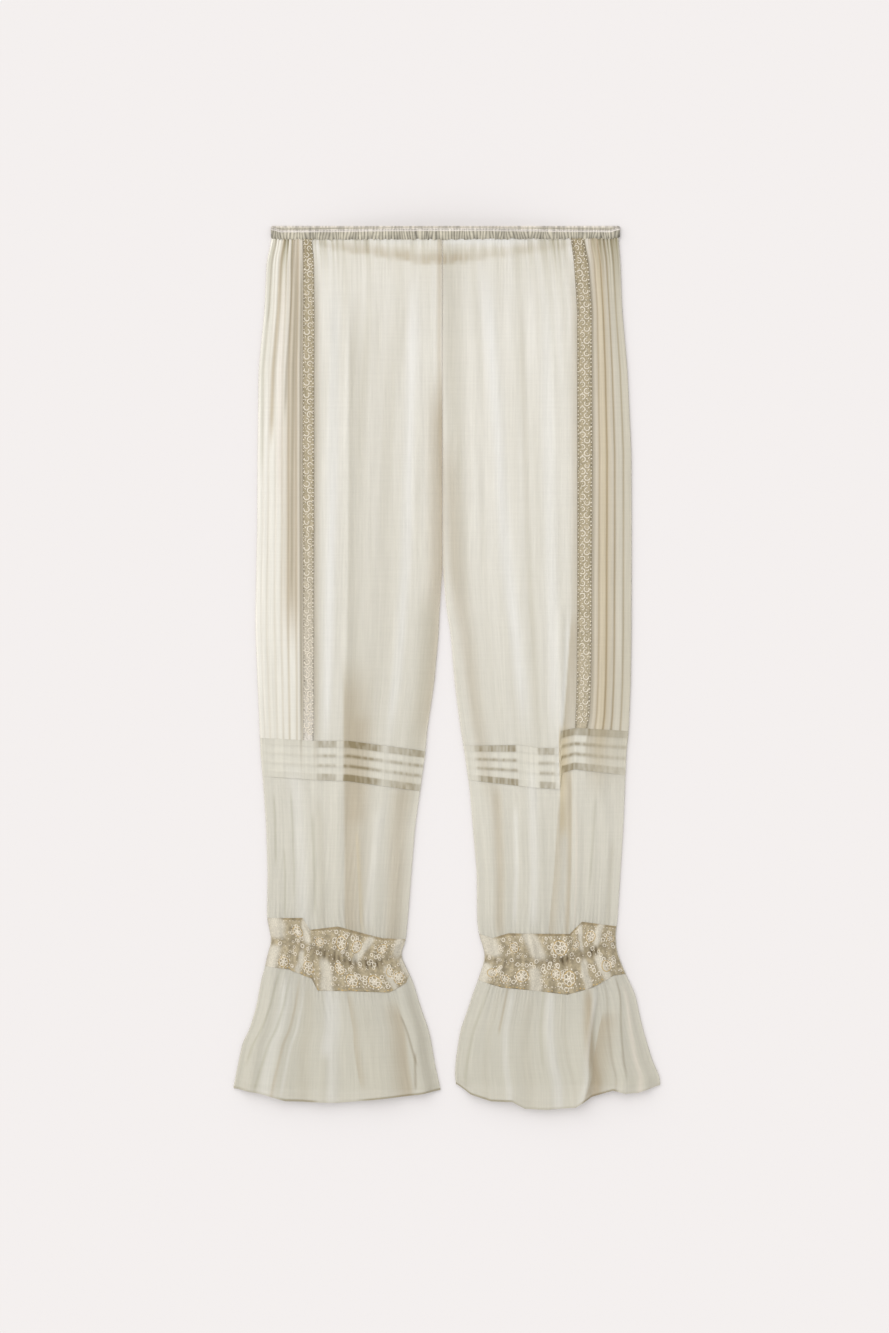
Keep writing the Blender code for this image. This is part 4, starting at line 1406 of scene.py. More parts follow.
    def place_front(self, grid: Grid) -> Place:
        """Lay the front panel, whose inner edge curls down below the crotch.

        Args:
            grid: Places of the piece.

        Returns:
            Where the places lie.
        """
        flat = Grid(grid.across, grid.turn * 0.0, grid.row)
        down = self.level(flat)
        relief = self.relief(flat, down)
        curl = ease((down - self.crotch) / 25.0) * (grid.turn > 0.0)
        angle = grid.turn * math.pi
        x = leg_x(self.leg, grid.across, down)
        straight = angle / (self.curl_turn * math.pi)
        reach = np.where(grid.turn > 0.0, mix(straight, np.sin(angle), curl), 0.0)
        x = x - self.leg.outward * (FOLD_RADIUS + mix(0.21, 0.0, curl)) * reach
        drop = FOLD_RADIUS * (1.0 - np.cos(angle)) + relief * ease(grid.turn / self.curl_turn)
        return Place(x, down, 2 * FOLD_RADIUS + relief - drop * curl)

    def place_back(self, grid: Grid) -> Place:
        """Lay the back panel, flat on what the garment lies on.

        Args:
            grid: Places of the piece.

        Returns:
            Where the places lie.
        """
        flat = Grid(grid.across, np.ones_like(grid.turn), grid.row)
        down = self.level(flat)
        angle = (1.0 - grid.turn) * math.pi
        x = leg_x(self.leg, grid.across, down) - self.leg.outward * FOLD_RADIUS * np.sin(angle)
        return Place(x, down, FOLD_RADIUS * (1.0 - np.cos(angle)))

    def place_side(self, grid: Grid) -> Place:
        """Lay the pintucked side, which wraps round the outer fold.

        Args:
            grid: Places of the piece.

        Returns:
            Where the places lie.
        """
        down = self.level(grid)
        tucked = self.tuck_height * self.tuck(grid.across)
        uneven = 1.0 + 0.25 * drift(millimetres(grid.across), down, 9.0, 120.0, 41)
        return wrap(self.leg, grid, down, self.relief(grid, down) + tucked * uneven)

    def side_colour(self, grid: Grid, laid: Place) -> Array:
        """Tint the side: painted shade in its tuck valleys, and streaks, painted strongest under
        the band.

        Args:
            grid: Places of the piece.
            laid: Where those places lie.

        Returns:
            A tint and a cover for each place.
        """
        colour = self.plain_colour(grid, laid)
        # Painted shade along the valleys between the tucks
        valleys = np.array(self.leg.tucks[1:])
        shades = np.array((*self.leg.valley_shades, 0.5))
        lines = shades * swell(grid.across[:, None] - valleys, 0.012)
        line = lines.max(axis=1) * grid.front()
        dark = np.array(linear(Tint.BROWN.value))
        colour[:, :3] *= 1.0 - line[:, None] * (1.0 - dark)
        # Fine streaks, with painted light and shade in the gathers under the band
        wide = millimetres(grid.across)
        fine = drift(wide, laid.down, 1.2, 55.0, self.leg.seed + 24)
        depth = 0.035 + 0.13 * np.exp(-np.maximum(laid.down - 13.0, 0.0) / 45.0)
        colour[:, :3] *= 1.0 + (depth * fine)[:, None]
        return colour

    def place_lace(self, grid: Grid) -> Place:
        """Lay the lace strip over the seam of front and side."""
        down = self.level(grid)
        return wrap(self.leg, grid, down, self.relief(grid, down) + self.lace_lift)

    def lace_colour(self, grid: Grid, laid: Place) -> Array:
        """Tint the lace's ground, darker along both edges.

        Args:
            grid: Places of the piece.
            laid: Where those places lie.

        Returns:
            A tint and a cover for each place.
        """
        middle = np.abs(grid.across - LACE_MIDDLE) / (LACE_INNER - LACE_MIDDLE)
        wide = grid.across * self.mottle_width
        mottled = 1.0 + 0.20 * drift(wide, laid.down, 2.0, 2.6, self.leg.seed + 12)
        # Painted light and shade in streaks where the lace gathers under the band
        near = np.exp(-np.maximum(laid.down - 15.0, 0.0) / 30.0)
        mottled = mottled - 0.25 * near * drift(wide, laid.down, 2.6, 40.0, self.leg.seed + 22)
        shade = mottled * (1.0 - 0.14 * ease((middle - 0.60) / 0.4))
        tone = read_line(self.leg.lace_tones, laid.down)
        colour = toned(tone, LACE_POWERS) * np.stack([shade, shade * 1.01, shade**1.15], axis=1)
        ragged = drift(wide * 0.0, laid.down, 5.0, 2.4, self.leg.seed + 13)
        edge_cover = 1.0 - ease((middle - 0.72 - 0.22 * ragged) / 0.2)
        return with_cover(colour, mix(0.45, 1.0, edge_cover))

    def lay_on_lace(self, flat: Array) -> Array:
        """Lay millimetres on the lace strip.

        Args:
            flat: Across from its middle, down from its top, and lift.

        Returns:
            The points in metres.
        """
        across = LACE_MIDDLE + flat[:, 0] / self.leg.lace_width * (LACE_INNER - LACE_OUTER)
        grid = Grid(across, np.zeros(len(flat)), flat[:, 1] / LACE_LENGTH)
        laid = self.place_lace(grid)
        return Place(laid.x, laid.down, laid.height + flat[:, 2]).points()

    def embroider(self) -> bpy.types.Object:
        """Sew the lace strip's curls, leaves, hearts and edge dots.

        Returns:
            The piece of thread.
        """
        work = Embroidery(f"lace_{self.leg.name}_curls", "lace", CREAM_THREAD, self.lay_on_lace)
        half = self.leg.lace_width / 2
        rng = np.random.default_rng(self.leg.seed)
        curls, leaves, hearts, dots = [], [], [], []
        for step in range(int(self.sewn_length / self.lace_pitch)):
            down = 4.0 + step * self.lace_pitch + rng.uniform(-0.5, 0.5)
            side = 1.0 if step % 2 else -1.0
            size = rng.uniform(0.85, 1.15)
            turn = side * rng.uniform(0.6, 1.8)
            curls.append(Stitch(side * half * 0.30, down, turn, size * 0.95))
            leaves.append(Stitch(-side * half * 0.52, down - 1.6, side * 0.9, size * 0.9))
            if half > 7.5:
                leaves.append(Stitch(-side * half * 0.30, down + 2.4, -side * 0.5, size))
                leaves.append(Stitch(side * half * 0.30, down, side * 0.8, size * 0.6))
            elif step % 2:
                hearts.append(Stitch(side * half * 0.30, down, rng.uniform(0, 3), size * 0.7))
            spot = (rng.uniform(-0.7, 0.7) * half, down + rng.uniform(-3.6, 3.6))
            dots.append(Stitch(*spot, 0.0, rng.uniform(0.5, 0.8)))
        for step in range(int(self.sewn_length / self.dot_pitch)):
            for side in (-1.0, 1.0):
                down = 2.0 + step * self.dot_pitch + rng.uniform(-0.8, 0.8)
                size = rng.uniform(0.8, 1.2) * (1.0 if side < 0 else 0.8)
                dots.append(Stitch(side * self.leg.outward * (half - 1.3), down, 0.0, size))
        work.sew(thread_loop(3.0, 0.70, sweep=0.72), curls)
        work.sew(thread_knot(2.6, 2.4, 1.4), hearts)
        work.sew(thread_knot(3.6, 1.6, 1.4), leaves)
        work.sew(thread_knot(2.3, 2.1, 1.4), dots)
        return work.build()

    def build(self) -> None:
        """Make and dress the four pieces."""
        name, tucks = self.leg.name, self.leg.tucks
        rows = np.linspace(0.0, 1.0, self.rows + 1)
        coarse = rows[::3]
        ridges = [
            (mix(low, high, step / self.tuck_steps), 0.0)
            for low, high in zip(tucks, tucks[1:])
            for step in range(self.tuck_steps)
        ]
        beside_lace = [(LACE_MIDDLE, 0.0), (0.272, 0.0), (LACE_OUTER, 0.0)]
        round_side = fold_spots(0.0, 0.0, 1.0, 6) + back_spots(0.0, LACE_MIDDLE, 12)
        spots = {
            "back": [(LACE_MIDDLE, 1.0)]
            + back_spots(LACE_MIDDLE, 1.0, 40)
            + fold_spots(1.0, 1.0, 0.53, 3),
            "front": front_spots(LACE_MIDDLE, 1.0, 130) + fold_spots(1.0, 0.0, self.curl_turn, 4),
            "side": beside_lace + ridges[::-1] + round_side,
            "lace": front_spots(LACE_OUTER, LACE_INNER, 10),
        }
        back, front, side, strip = [
            Sheet(
                f"{part}_{name}_{look}", f"{part}_{name}", slot, finish, spots[part], levels, *ways
            )
            for part, look, slot, finish, levels, *ways in (
                ("back", "voile", "voile", BACK_VOILE, coarse, self.place_back, self.plain_colour),
                ("front", "voile", "voile", VOILE, rows, self.place_front, self.front_colour),
                ("side", "tucks", "tucked_voile", TUCKED, rows, self.place_side, self.side_colour),
                ("lace", "net", "lace", LACE_NET, rows, self.place_lace, self.lace_colour),
            )
        ]
        for sheet in (back, front, side, strip):
            sheet.build()
        back.dress((0.155, 0.58), "laid", ["floor"])
        front.dress((0.155, 0.58), "laid", [back.object])
        side.dress((0.13, 0.57), "laid", [back.object])
        width = self.leg.lace_width * MM
        strip.dress((width, 0.57), "laid", [side.object, front.object], [self.embroider()])


@dataclass
class Waistband:
    """The elastic waist: a gathered ring whose front stands up in a low arch."""

    width: float = 396.0
    gathers: int = 115
    gather_depth: float = 0.8
    rim_middle: float = 2.5
    roll_row: float = 0.20

    def crest(self, grid: Grid) -> Array:
        """Work out the band's gathers, unevenly spaced.

        Args:
            grid: Places of the piece.

        Returns:
            How far each place stands up a gather, from 0 to 1.
        """
        wander = 0.80 * drift(grid.across * self.width, grid.row * 10.0, 9.0, 14.0, 5)
        phase = (grid.across * self.gathers + wander) * math.pi
        return np.abs(np.sin(phase))

    def place(self, grid: Grid) -> Place:
        """Lay the ring, with its rolled rim, gathers and notched seam.

        Args:
            grid: Places of the piece.

        Returns:
            Where the places lie.
        """
        x = mix(WAIST_LEFT + BAND_RADIUS, WAIST_RIGHT - BAND_RADIUS, grid.across)
        ends = ease(grid.inward() * 40.0)
        front_top = mix(self.rim_middle, FRONT_RIM, ends)
        top = mix(front_top, 0.0, grid.turn)
        bottom = mix(read_line(BAND_FRONT_BOTTOM, grid.across), BACK_BAND_BOTTOM, grid.turn)
        on_front, on_back = grid.front(), grid.turn > 0.99
        side = np.where(grid.across > 0.5, 1.0, -1.0)
        x = x + side * BAND_RADIUS * np.sin(grid.turn * math.pi)
        height = BAND_RADIUS * (1.0 + np.cos(grid.turn * math.pi))
        bulge = np.sin(np.clip(grid.row, 0.0, 1.0) * math.pi)
        roll = swell(grid.row - self.roll_row, 0.14)
        relief = self.gather_depth * self.crest(grid) * (1.0 - 0.7 * roll)
        relief = relief + 0.5 * bulge + 0.5 * roll - 1.3 * ease((grid.row - 0.8) / 0.2)
        height = height + on_front * (arch(x, x * 0.0) + relief)
        height = height + on_back * 0.45 * self.crest(grid)
        notch = 0.7 + 0.7 * drift(grid.across * self.width, grid.row * 0.0, 2.2, 9.0, 8)
        bottom = bottom - SEAM_GAP / 2 + 1.3 * notch * on_front * ease(ends)
        return Place(x, mix(top, bottom, grid.row), height)

    def colour(self, grid: Grid, laid: Place) -> Array:
        """Tint the ring, with painted shade between its gathers and a painted highlight on the
        rolled rim.

        Args:
            grid: Places of the piece.
            laid: Where those places lie.

        Returns:
            A tint and a cover for each place.
        """
        wide = grid.across * self.width
        patchy = 1.0 + 0.20 * drift(wide, grid.row * 10.0, 4.0, 9.0, 6)
        patchy = patchy + 0.22 * drift(wide, grid.row * 10.0, 2.0, 5.0, 9)
        # Painted light and shade: crests of the gathers lighter, hollows between them darker
        shade = (0.44 + 0.58 * self.crest(grid)) * patchy
        notches = 1.10 + 0.34 * drift(wide, grid.row * 0.0, 1.9, 9.0, 7)
        inside = np.where(grid.turn > 0.5, 0.36, 0.08)
        shade = mix(shade, notches * 1.2, 1.0 - ease((grid.row - 0.02) / inside))
        # A painted highlight along the rolled rim
        roll = swell(grid.row - self.roll_row, 0.10) * (grid.turn < 0.5)
        uneven = 1.36 + 0.16 * drift(wide, grid.row * 0.0, 30.0, 9.0, 10)
        shade = mix(shade, uneven, roll)
        # Painted shade in the hollows along the lower edge, and toward both ends
        shade = shade * (1.0 - 0.20 * ease((grid.row - 0.80) / 0.2) * (1.0 - self.crest(grid)))
        ends = ease(1.0 - grid.inward() / 0.02)
        shade = shade * (1.0 - 0.25 * ends * (1.0 - roll))
        # Cooler along the top rows and in the painted highlight
        cool = mix(mix(1.10, 0.97, ease(grid.row / 0.30)), 1.14, roll)
        colour = np.stack([shade, shade, shade * cool], axis=1)
        return with_cover(colour, np.ones(len(shade)))

    def build(self) -> None:
        """Make and dress the ring."""
        rows = (0.0, 0.04, 0.08, 0.12, 0.17, 0.23, 0.3, 0.4, 0.52, 0.64, 0.76, 0.88, 1.0)
        ring = Sheet(
            "waistband_casing",
            "waistband",
            "casing",
            CASING,
            ring_spots(self.gathers * 7, self.gathers * 3),
            np.array(rows),
            self.place,
            self.colour,
            wall=0.9,
            fold_highlight_and_fade=0.0,
        )
        ring.build()
        ring.dress((0.90, 0.012), "gathered", ["floor"])


@dataclass
class Tube:
    """A ring of cloth round a leg between two or more lines."""

    leg: Leg
    lines: Sequence[Sequence[Knot]]

    def level(self, grid: Grid) -> Array:
        """Return the level of each place, between the lines that the ring joins.

        Args:
            grid: Places of the piece.

        Returns:
            The level of each place, where row 0 is the first line.
        """
        levels = [leg_line(line, grid.across, grid.turn) for line in self.lines]
        levels[0] = levels[0] + SEAM_GAP / 2
        levels[-1] = levels[-1] - SEAM_GAP / 2
        index = np.minimum(grid.row.astype(int), len(levels) - 2)
        stack = np.stack(levels)
        each = np.arange(len(index))
        return mix(stack[index, each], stack[index + 1, each], grid.row - index)

    def rim(self, grid: Grid) -> Array:
        """Return 0 at both folds of the leg and 1 away from them."""
        return ease(12.0 * grid.inward())

    def make(
        self, part: str, look: str, slot: str, finish: Cloth, steps: tuple[int, int], rows: Array
    ) -> Sheet:
        """Make the ring's sheet, laid by place() and tinted by colour().

        Args:
            part: The part of the leg that it is.
            look: What the cloth looks like, the last word of the piece's name.
            slot: The name of a material slot, handed on to the sheet, which doesn't use it.
            finish: Its cloth.
            steps: How many steps it has over the front and over the back.
            rows: Its rows, where 0 is the first line.

        Returns:
            The sheet, built and not yet dressed.
        """
        node_name = f"{part}_{self.leg.name}"
        sheet = Sheet(
            f"{node_name}_{look}",
            node_name,
            slot,
            finish,
            ring_spots(*steps),
            rows,
            self.place,
            self.colour,
        )
        sheet.build()
        return sheet


@dataclass
class KneeBand(Tube):
    """The band of horizontal tucks at the knee: two wide ones and two thin ones between."""

    tuck_height: float = 0.7
    wide_share: float = 0.19
    thin_rows: tuple[float, float] = (0.375, 0.625)
    thin_share: float = 0.082
    crinkles: float = 0.3
    doubled_tint: str = "85785A"

    def bars(self, row: Array) -> Array:
        """Work out the band's four tucks.

        Args:
            row: Shares of the band's height.

        Returns:
            How strongly a tuck stands there, from 0 to 1.
        """
        from_edge = np.minimum(row, 1.0 - row)
        thin = [swell(row - middle, self.thin_share) for middle in self.thin_rows]
        return np.maximum(ease((self.wide_share - from_edge) / 0.04), np.maximum(*thin))

    def place(self, grid: Grid) -> Place:
        """Lay the band.

        Args:
            grid: Places of the piece.

        Returns:
            Where the places lie.
        """
        down = self.level(grid)
        relief = self.tuck_height * self.bars(grid.row) + folds(self.leg, grid.across, down)
        relief = relief + crinkle(self.leg, grid.across, down, self.crinkles)
        return wrap(self.leg, grid, down, relief * self.rim(grid))

    def strength(self, grid: Grid, laid: Place) -> Array:
        """Work out how dark the tucks look, in groups and with fine ticks.

        Args:
            grid: Places of the piece.
            laid: Where those places lie.

        Returns:
            How dark a tuck is at each place, from 0 to 1.
        """
        strength = read_line(self.leg.knee_bars, grid.across)
        ticks = drift(laid.x, laid.down, 1.9, 9.0, self.leg.seed + 14)
        return np.clip(strength * (1.0 + 0.45 * ticks), 0.0, 1.0) * grid.front()

    def colour(self, grid: Grid, laid: Place) -> Array:
        """Tint the band, tan where a tuck doubles the cloth.

        Args:
            grid: Places of the piece.
            laid: Where those places lie.

        Returns:
            A tint and a cover for each place.
        """
        colour = paint(self.leg, grid.across, laid.down)
        fine = drift(laid.x, laid.down * 0.2, 1.9, 30.0, self.leg.seed + 15)
        colour = colour * (1.0 + 0.05 * fine)[:, None]
        share = 0.92 * self.bars(grid.row) * self.strength(grid, laid)
        colour += (np.array(linear(self.doubled_tint)) - colour) * share[:, None]
        return with_cover(colour, mix(1.0, 1.4, share))

    def build(self) -> None:
        """Make and dress the band."""
        rows = np.linspace(0.0, 1.0, 41)
        band = self.make("knee_band", "tucks", "striped_voile", STRIPED, (150, 30), rows)
        band.dress((0.39, 0.048), "laid", ["floor"])


@dataclass
class LowerLeg(Tube):
    """The leg below the knee, which puffs a little over the cuff."""

    puff: float = CUFF_SEAM_HEIGHT
    gather_count: float = 34.0
    gather_height: float = 0.8
    fold_share: float = 0.7
    crinkles: float = 0.4

    def gathers(self, grid: Grid) -> Array:
        """Work out the ripples that run up from the cuff's seam.

        Args:
            grid: Places of the piece.

        Returns:
            How far each place is up a ripple, from 0 to 1.
        """
        wide = millimetres(grid.across)
        reach = 0.13 + 0.08 * drift(wide, grid.row * 0.0, 12.0, 1.0, self.leg.seed + 3)
        fade = np.exp(-(1.0 - grid.row) / reach)
        wander = 1.6 * drift(wide, grid.row * 10.0, 14.0, 6.0, self.leg.seed + 4)
        ripples = np.cos((grid.across * self.gather_count + wander) * 2.0 * math.pi)
        return fade * (0.5 + 0.5 * ripples)

    def place(self, grid: Grid) -> Place:
        """Lay the leg.

        Args:
            grid: Places of the piece.

        Returns:
            Where the places lie.
        """
        down = self.level(grid)
        relief = self.puff * grid.row * np.sin(grid.across * math.pi)
        relief = relief + self.fold_share * folds(self.leg, grid.across, down)
        relief = relief + self.gather_height * self.gathers(grid)
        relief = relief + crinkle(self.leg, grid.across, down, self.crinkles)
        return wrap(self.leg, grid, down, relief * self.rim(grid))

    def colour(self, grid: Grid, laid: Place) -> Array:
        """Tint the leg, with painted shade between the gathers at its end and along its creases.

        Args:
            grid: Places of the piece.
            laid: Where those places lie.

        Returns:
            A tint and a cover for each place.
        """
        colour = paint(self.leg, grid.across, laid.down)
        # Painted shade between the gathers at the cuff
        fade = np.exp(-(1.0 - grid.row) / 0.18)
        gathered = 1.0 - 0.10 * fade * (1.0 - self.gathers(grid))
        crease_shading = 1.0 + 0.04 * crinkle(self.leg, grid.across, laid.down, 1.0)
        return with_cover(colour * (gathered * crease_shading)[:, None], np.ones(len(colour)))

    def build(self) -> None:
        """Make and dress the leg."""
        rows = np.linspace(0.0, 1.0, 61)
        tube = self.make("lower_leg", "voile", "voile", VOILE, (150, 40), rows)
        tube.dress((0.36, 0.168), "laid", ["floor"])


@dataclass
class Cuff(Tube):
    """The lace cuff, drawn in along its elastic line."""

    width: float = 150.0
    row_height: float = 29.0
    gathers: int = 12
    pinches: float = 26.0
    loose_dots: int = 230
    loose_curls: int = 150
    scallop_steps: int = 44
    scallop_share: float = 0.62
    net_tint: str = "ADA085"
    voile_tint: str = "D3CCBC"
    pit_shade_tint: str = "8F8268"
    seam_tint: str = "C4B491"

    def crest(self, grid: Grid) -> Array:
        """Work out the cuff's large gathers.

        Args:
            grid: Places of the piece.

        Returns:
            How far each place stands up a gather, from 0 to 1.
        """
        wide = grid.across * self.width
        wander = 0.10 * drift(wide, grid.row * 10.0, 20.0, 8.0, self.leg.seed + 6)
        return 0.5 - 0.5 * np.cos((grid.across * self.gathers + wander) * 2.0 * math.pi)

    def pinch(self, grid: Grid) -> Array:
        """Return the small gathers along the elastic line, from 0 to 1."""
        fade = swell(grid.row - 1.0, 0.75)
        return fade * np.abs(np.sin(grid.across * self.pinches * math.pi))

    def relief(self, grid: Grid) -> Array:
        """Work out the cuff's rows, gathers and pinches.

        Args:
            grid: Places of the piece.

        Returns:
            How high each place of the front stands over its flat state.
        """
        heights = (
            (0.0, 4.6), (0.35, 7.4), (0.75, 7.0), (1.0, 4.8), (1.25, 6.8), (1.6, 8.0), (2.0, 6.0)
        )
        depths = (
            (0.0, 1.2), (0.35, 2.0), (0.75, 2.2), (1.0, 1.5), (1.25, 2.2), (1.6, 2.4), (2.0, 1.2)
        )
        level = read_line(heights, grid.row) + self.crest(grid) * read_line(depths, grid.row)
        seam = CUFF_SEAM_HEIGHT * np.sin(grid.across * math.pi) + 0.5
        return mix(seam, level + 0.7 * self.pinch(grid), ease(grid.row / 0.35))

    def place(self, grid: Grid) -> Place:
        """Lay the cuff."""
        return wrap(self.leg, grid, self.level(grid), self.relief(grid) * self.rim(grid))

    def overlap(self, grid: Grid) -> Array:
        """Work out where folds of plain voile cover the lace.

        Args:
            grid: Places of the piece.

        Returns:
            How far each place is covered, from 0 to 1.
        """
        total = np.zeros_like(grid.across)
        for fold in self.leg.overlaps:
            share = (grid.row - fold.row_top) / (fold.row_bottom - fold.row_top)
            ends = ease(np.minimum(4.0 * share, 3.0 * (1.0 - share)))
            centre = mix(fold.across_top, fold.across_bottom, np.clip(share, 0.0, 1.0))
            wander = drift(grid.row * self.row_height, centre * 99.0, 9.0, 30.0, 31)
            centre = centre + 0.012 * wander
            total = np.maximum(total, ends * swell(grid.across - centre, fold.half_width))
        return ease(1.25 * total) * grid.front()

    def colour(self, grid: Grid, laid: Place) -> Array:
        """Tint the cuff, with painted light and shade on its gathers and pale folds of voile.

        Args:
            grid: Places of the piece.
            laid: Where those places lie.

        Returns:
            A tint and a cover for each place.
        """
        wide = grid.across * self.width
        mottled = 1.0 + 0.26 * drift(wide, laid.down, 2.2, 2.2, self.leg.seed + 10)
        # Painted light on the crests of the gathers, painted shade in their hollows
        crest_shading = mottled * (0.90 + 0.16 * self.crest(grid))
        lace = np.array(linear(self.net_tint)) * crest_shading[:, None]
        streaks = 1.0 + 0.10 * drift(wide, laid.down, 3.0, 30.0, self.leg.seed + 11)
        voile = np.array(linear(self.voile_tint)) * streaks[:, None]
        round_fold = (grid.inward() < 0.05) & ~grid.front()
        overlap = np.maximum(self.overlap(grid), round_fold)[:, None]
        colour = mix(lace, voile, 0.90 * overlap)
        # Painted shade in the hollows between the small gathers along the elastic line
        pit_shade = swell(grid.row - 1.0, 0.26) * (1.0 - 0.7 * self.pinch(grid)) * grid.front()
        pit_shade = pit_shade * read_line(self.leg.pit_shade, grid.across)
        colour *= mix(1.0, np.array(linear(self.pit_shade_tint)), np.clip(pit_shade, 0.0, 1.0)[:, None])
        seam = swell(grid.row - 0.03, 0.05) * (1.0 - overlap[:, 0]) * grid.front()
        colour *= mix(1.0, np.array(linear(self.seam_tint)), 0.8 * seam[:, None])
        return with_cover(colour, np.ones(len(colour)))

    def lay_on_cuff(self, flat: Array) -> Array:
        """Lay millimetres on the cuff.

        Args:
            flat: Across from its outer edge, down from its top, and lift.

        Returns:
            The points in metres.
        """
        across = np.clip(flat[:, 0] / self.width, 0.0, 1.0)
        grid = Grid(across, np.zeros(len(flat)), flat[:, 1] / self.row_height)
        laid = self.place(grid)
        return Place(laid.x, laid.down, laid.height + flat[:, 2]).points()

    def embroider(self) -> list[bpy.types.Object]:
        """Sew the cuff's rosettes in cream, their rims and scallops in pale gold.

        Returns:
            The pieces of thread.
        """
        name = self.leg.name
        cream = Embroidery(f"cuff_{name}_petals", "lace", CREAM_THREAD, self.lay_on_cuff)
        gold = Embroidery(f"cuff_{name}_gold", "lace", GOLD_THREAD, self.lay_on_cuff)
        rng = np.random.default_rng(self.leg.seed + 20)
        petals, hearts, dots, rims, scallops = [], [], [], [], []
        for flower in self.leg.rosettes:
            middle = (flower.across * self.width, flower.row * self.row_height)
            start = rng.uniform(0.0, 1.0)
            hearts.append(Stitch(*middle, 0.0, flower.size))
            rims.append(Stitch(*middle, 0.0, flower.size))
            for number, count, reach, is_petal in self.flower_plan():
                turn = start + number * 2.0 * math.pi / count
                place = [
                    centre + reach * flower.size * part
                    for centre, part in zip(middle, (math.cos(turn), math.sin(turn)))
                ]
                (petals if is_petal else dots).append(Stitch(*place, turn, flower.size))
        for step in range(self.scallop_steps):
            share = (step + 0.5) / self.scallop_steps
            across, bow = share * self.width, 1.6 * abs(math.sin(share * 12.0 * math.pi))
            if rng.uniform() < self.scallop_share:
                scallops.append(Stitch(across, 55.6 + bow, 0.0, rng.uniform(0.7, 1.1)))
            dots.append(Stitch(across, 52.0 + bow, 0.0, rng.uniform(0.6, 1.0)))
            dots.append(Stitch(across + 1.0, 3.4, 0.0, rng.uniform(0.5, 0.9)))
        loose = ((dots, self.loose_dots, (0.5, 0.95)), (petals, self.loose_curls, (0.6, 1.1)))
        for stitches, count, sizes in loose:
            for _ in range(count):
                place = (rng.uniform(2.0, self.width - 2.0), rng.uniform(4.0, 54.0))
                stitches.append(Stitch(*place, 0.0, rng.uniform(*sizes)))
        cream.sew(thread_loop(1.85, 0.48, 8), self.uncovered(petals))
        cream.sew(thread_knot(2.6, 2.6, 1.6, 7), self.uncovered(hearts))
        cream.sew(thread_knot(1.9, 1.9, 1.3), self.uncovered(dots))
        gold.sew(thread_loop(5.2, 0.50, 16), self.uncovered(rims))
        gold.sew(thread_knot(3.6, 1.6, 1.2), self.uncovered(scallops))
        return [cream.build(), gold.build()]

    def flower_plan(self) -> list[tuple[int, int, float, bool]]:
        """Return each part of a rosette: number, count, reach, and whether it's a petal."""
        petals = [(number, 6, 3.3, True) for number in range(6)]
        return petals + [(number, 10, 6.6, False) for number in range(10)]

    def uncovered(self, stitches: Sequence[Stitch]) -> list[Stitch]:
        """Leave out what a fold of plain voile hides.

        Args:
            stitches: Where the shapes would be sewn.

        Returns:
            Those that show, in the same order.
        """
        across = np.array([stitch.across / self.width for stitch in stitches])
        row = np.array([stitch.down / self.row_height for stitch in stitches])
        hidden = self.overlap(Grid(across, across * 0.0, row)) > 0.5
        inside = (across > 0.005) & (across < 0.995) & (row > 0.05) & (row < 2.05)
        return [s for s, h, i in zip(stitches, hidden, inside) if i and not h]

    def build(self) -> None:
        """Make and dress the cuff."""
        rows = np.linspace(0.0, 2.0, 41)
        cuff = self.make("cuff", "net", "lace", CUFF_NET, (168, 48), rows)
        cuff.dress((0.40, 0.055), "gathered", ["floor"], self.embroider())


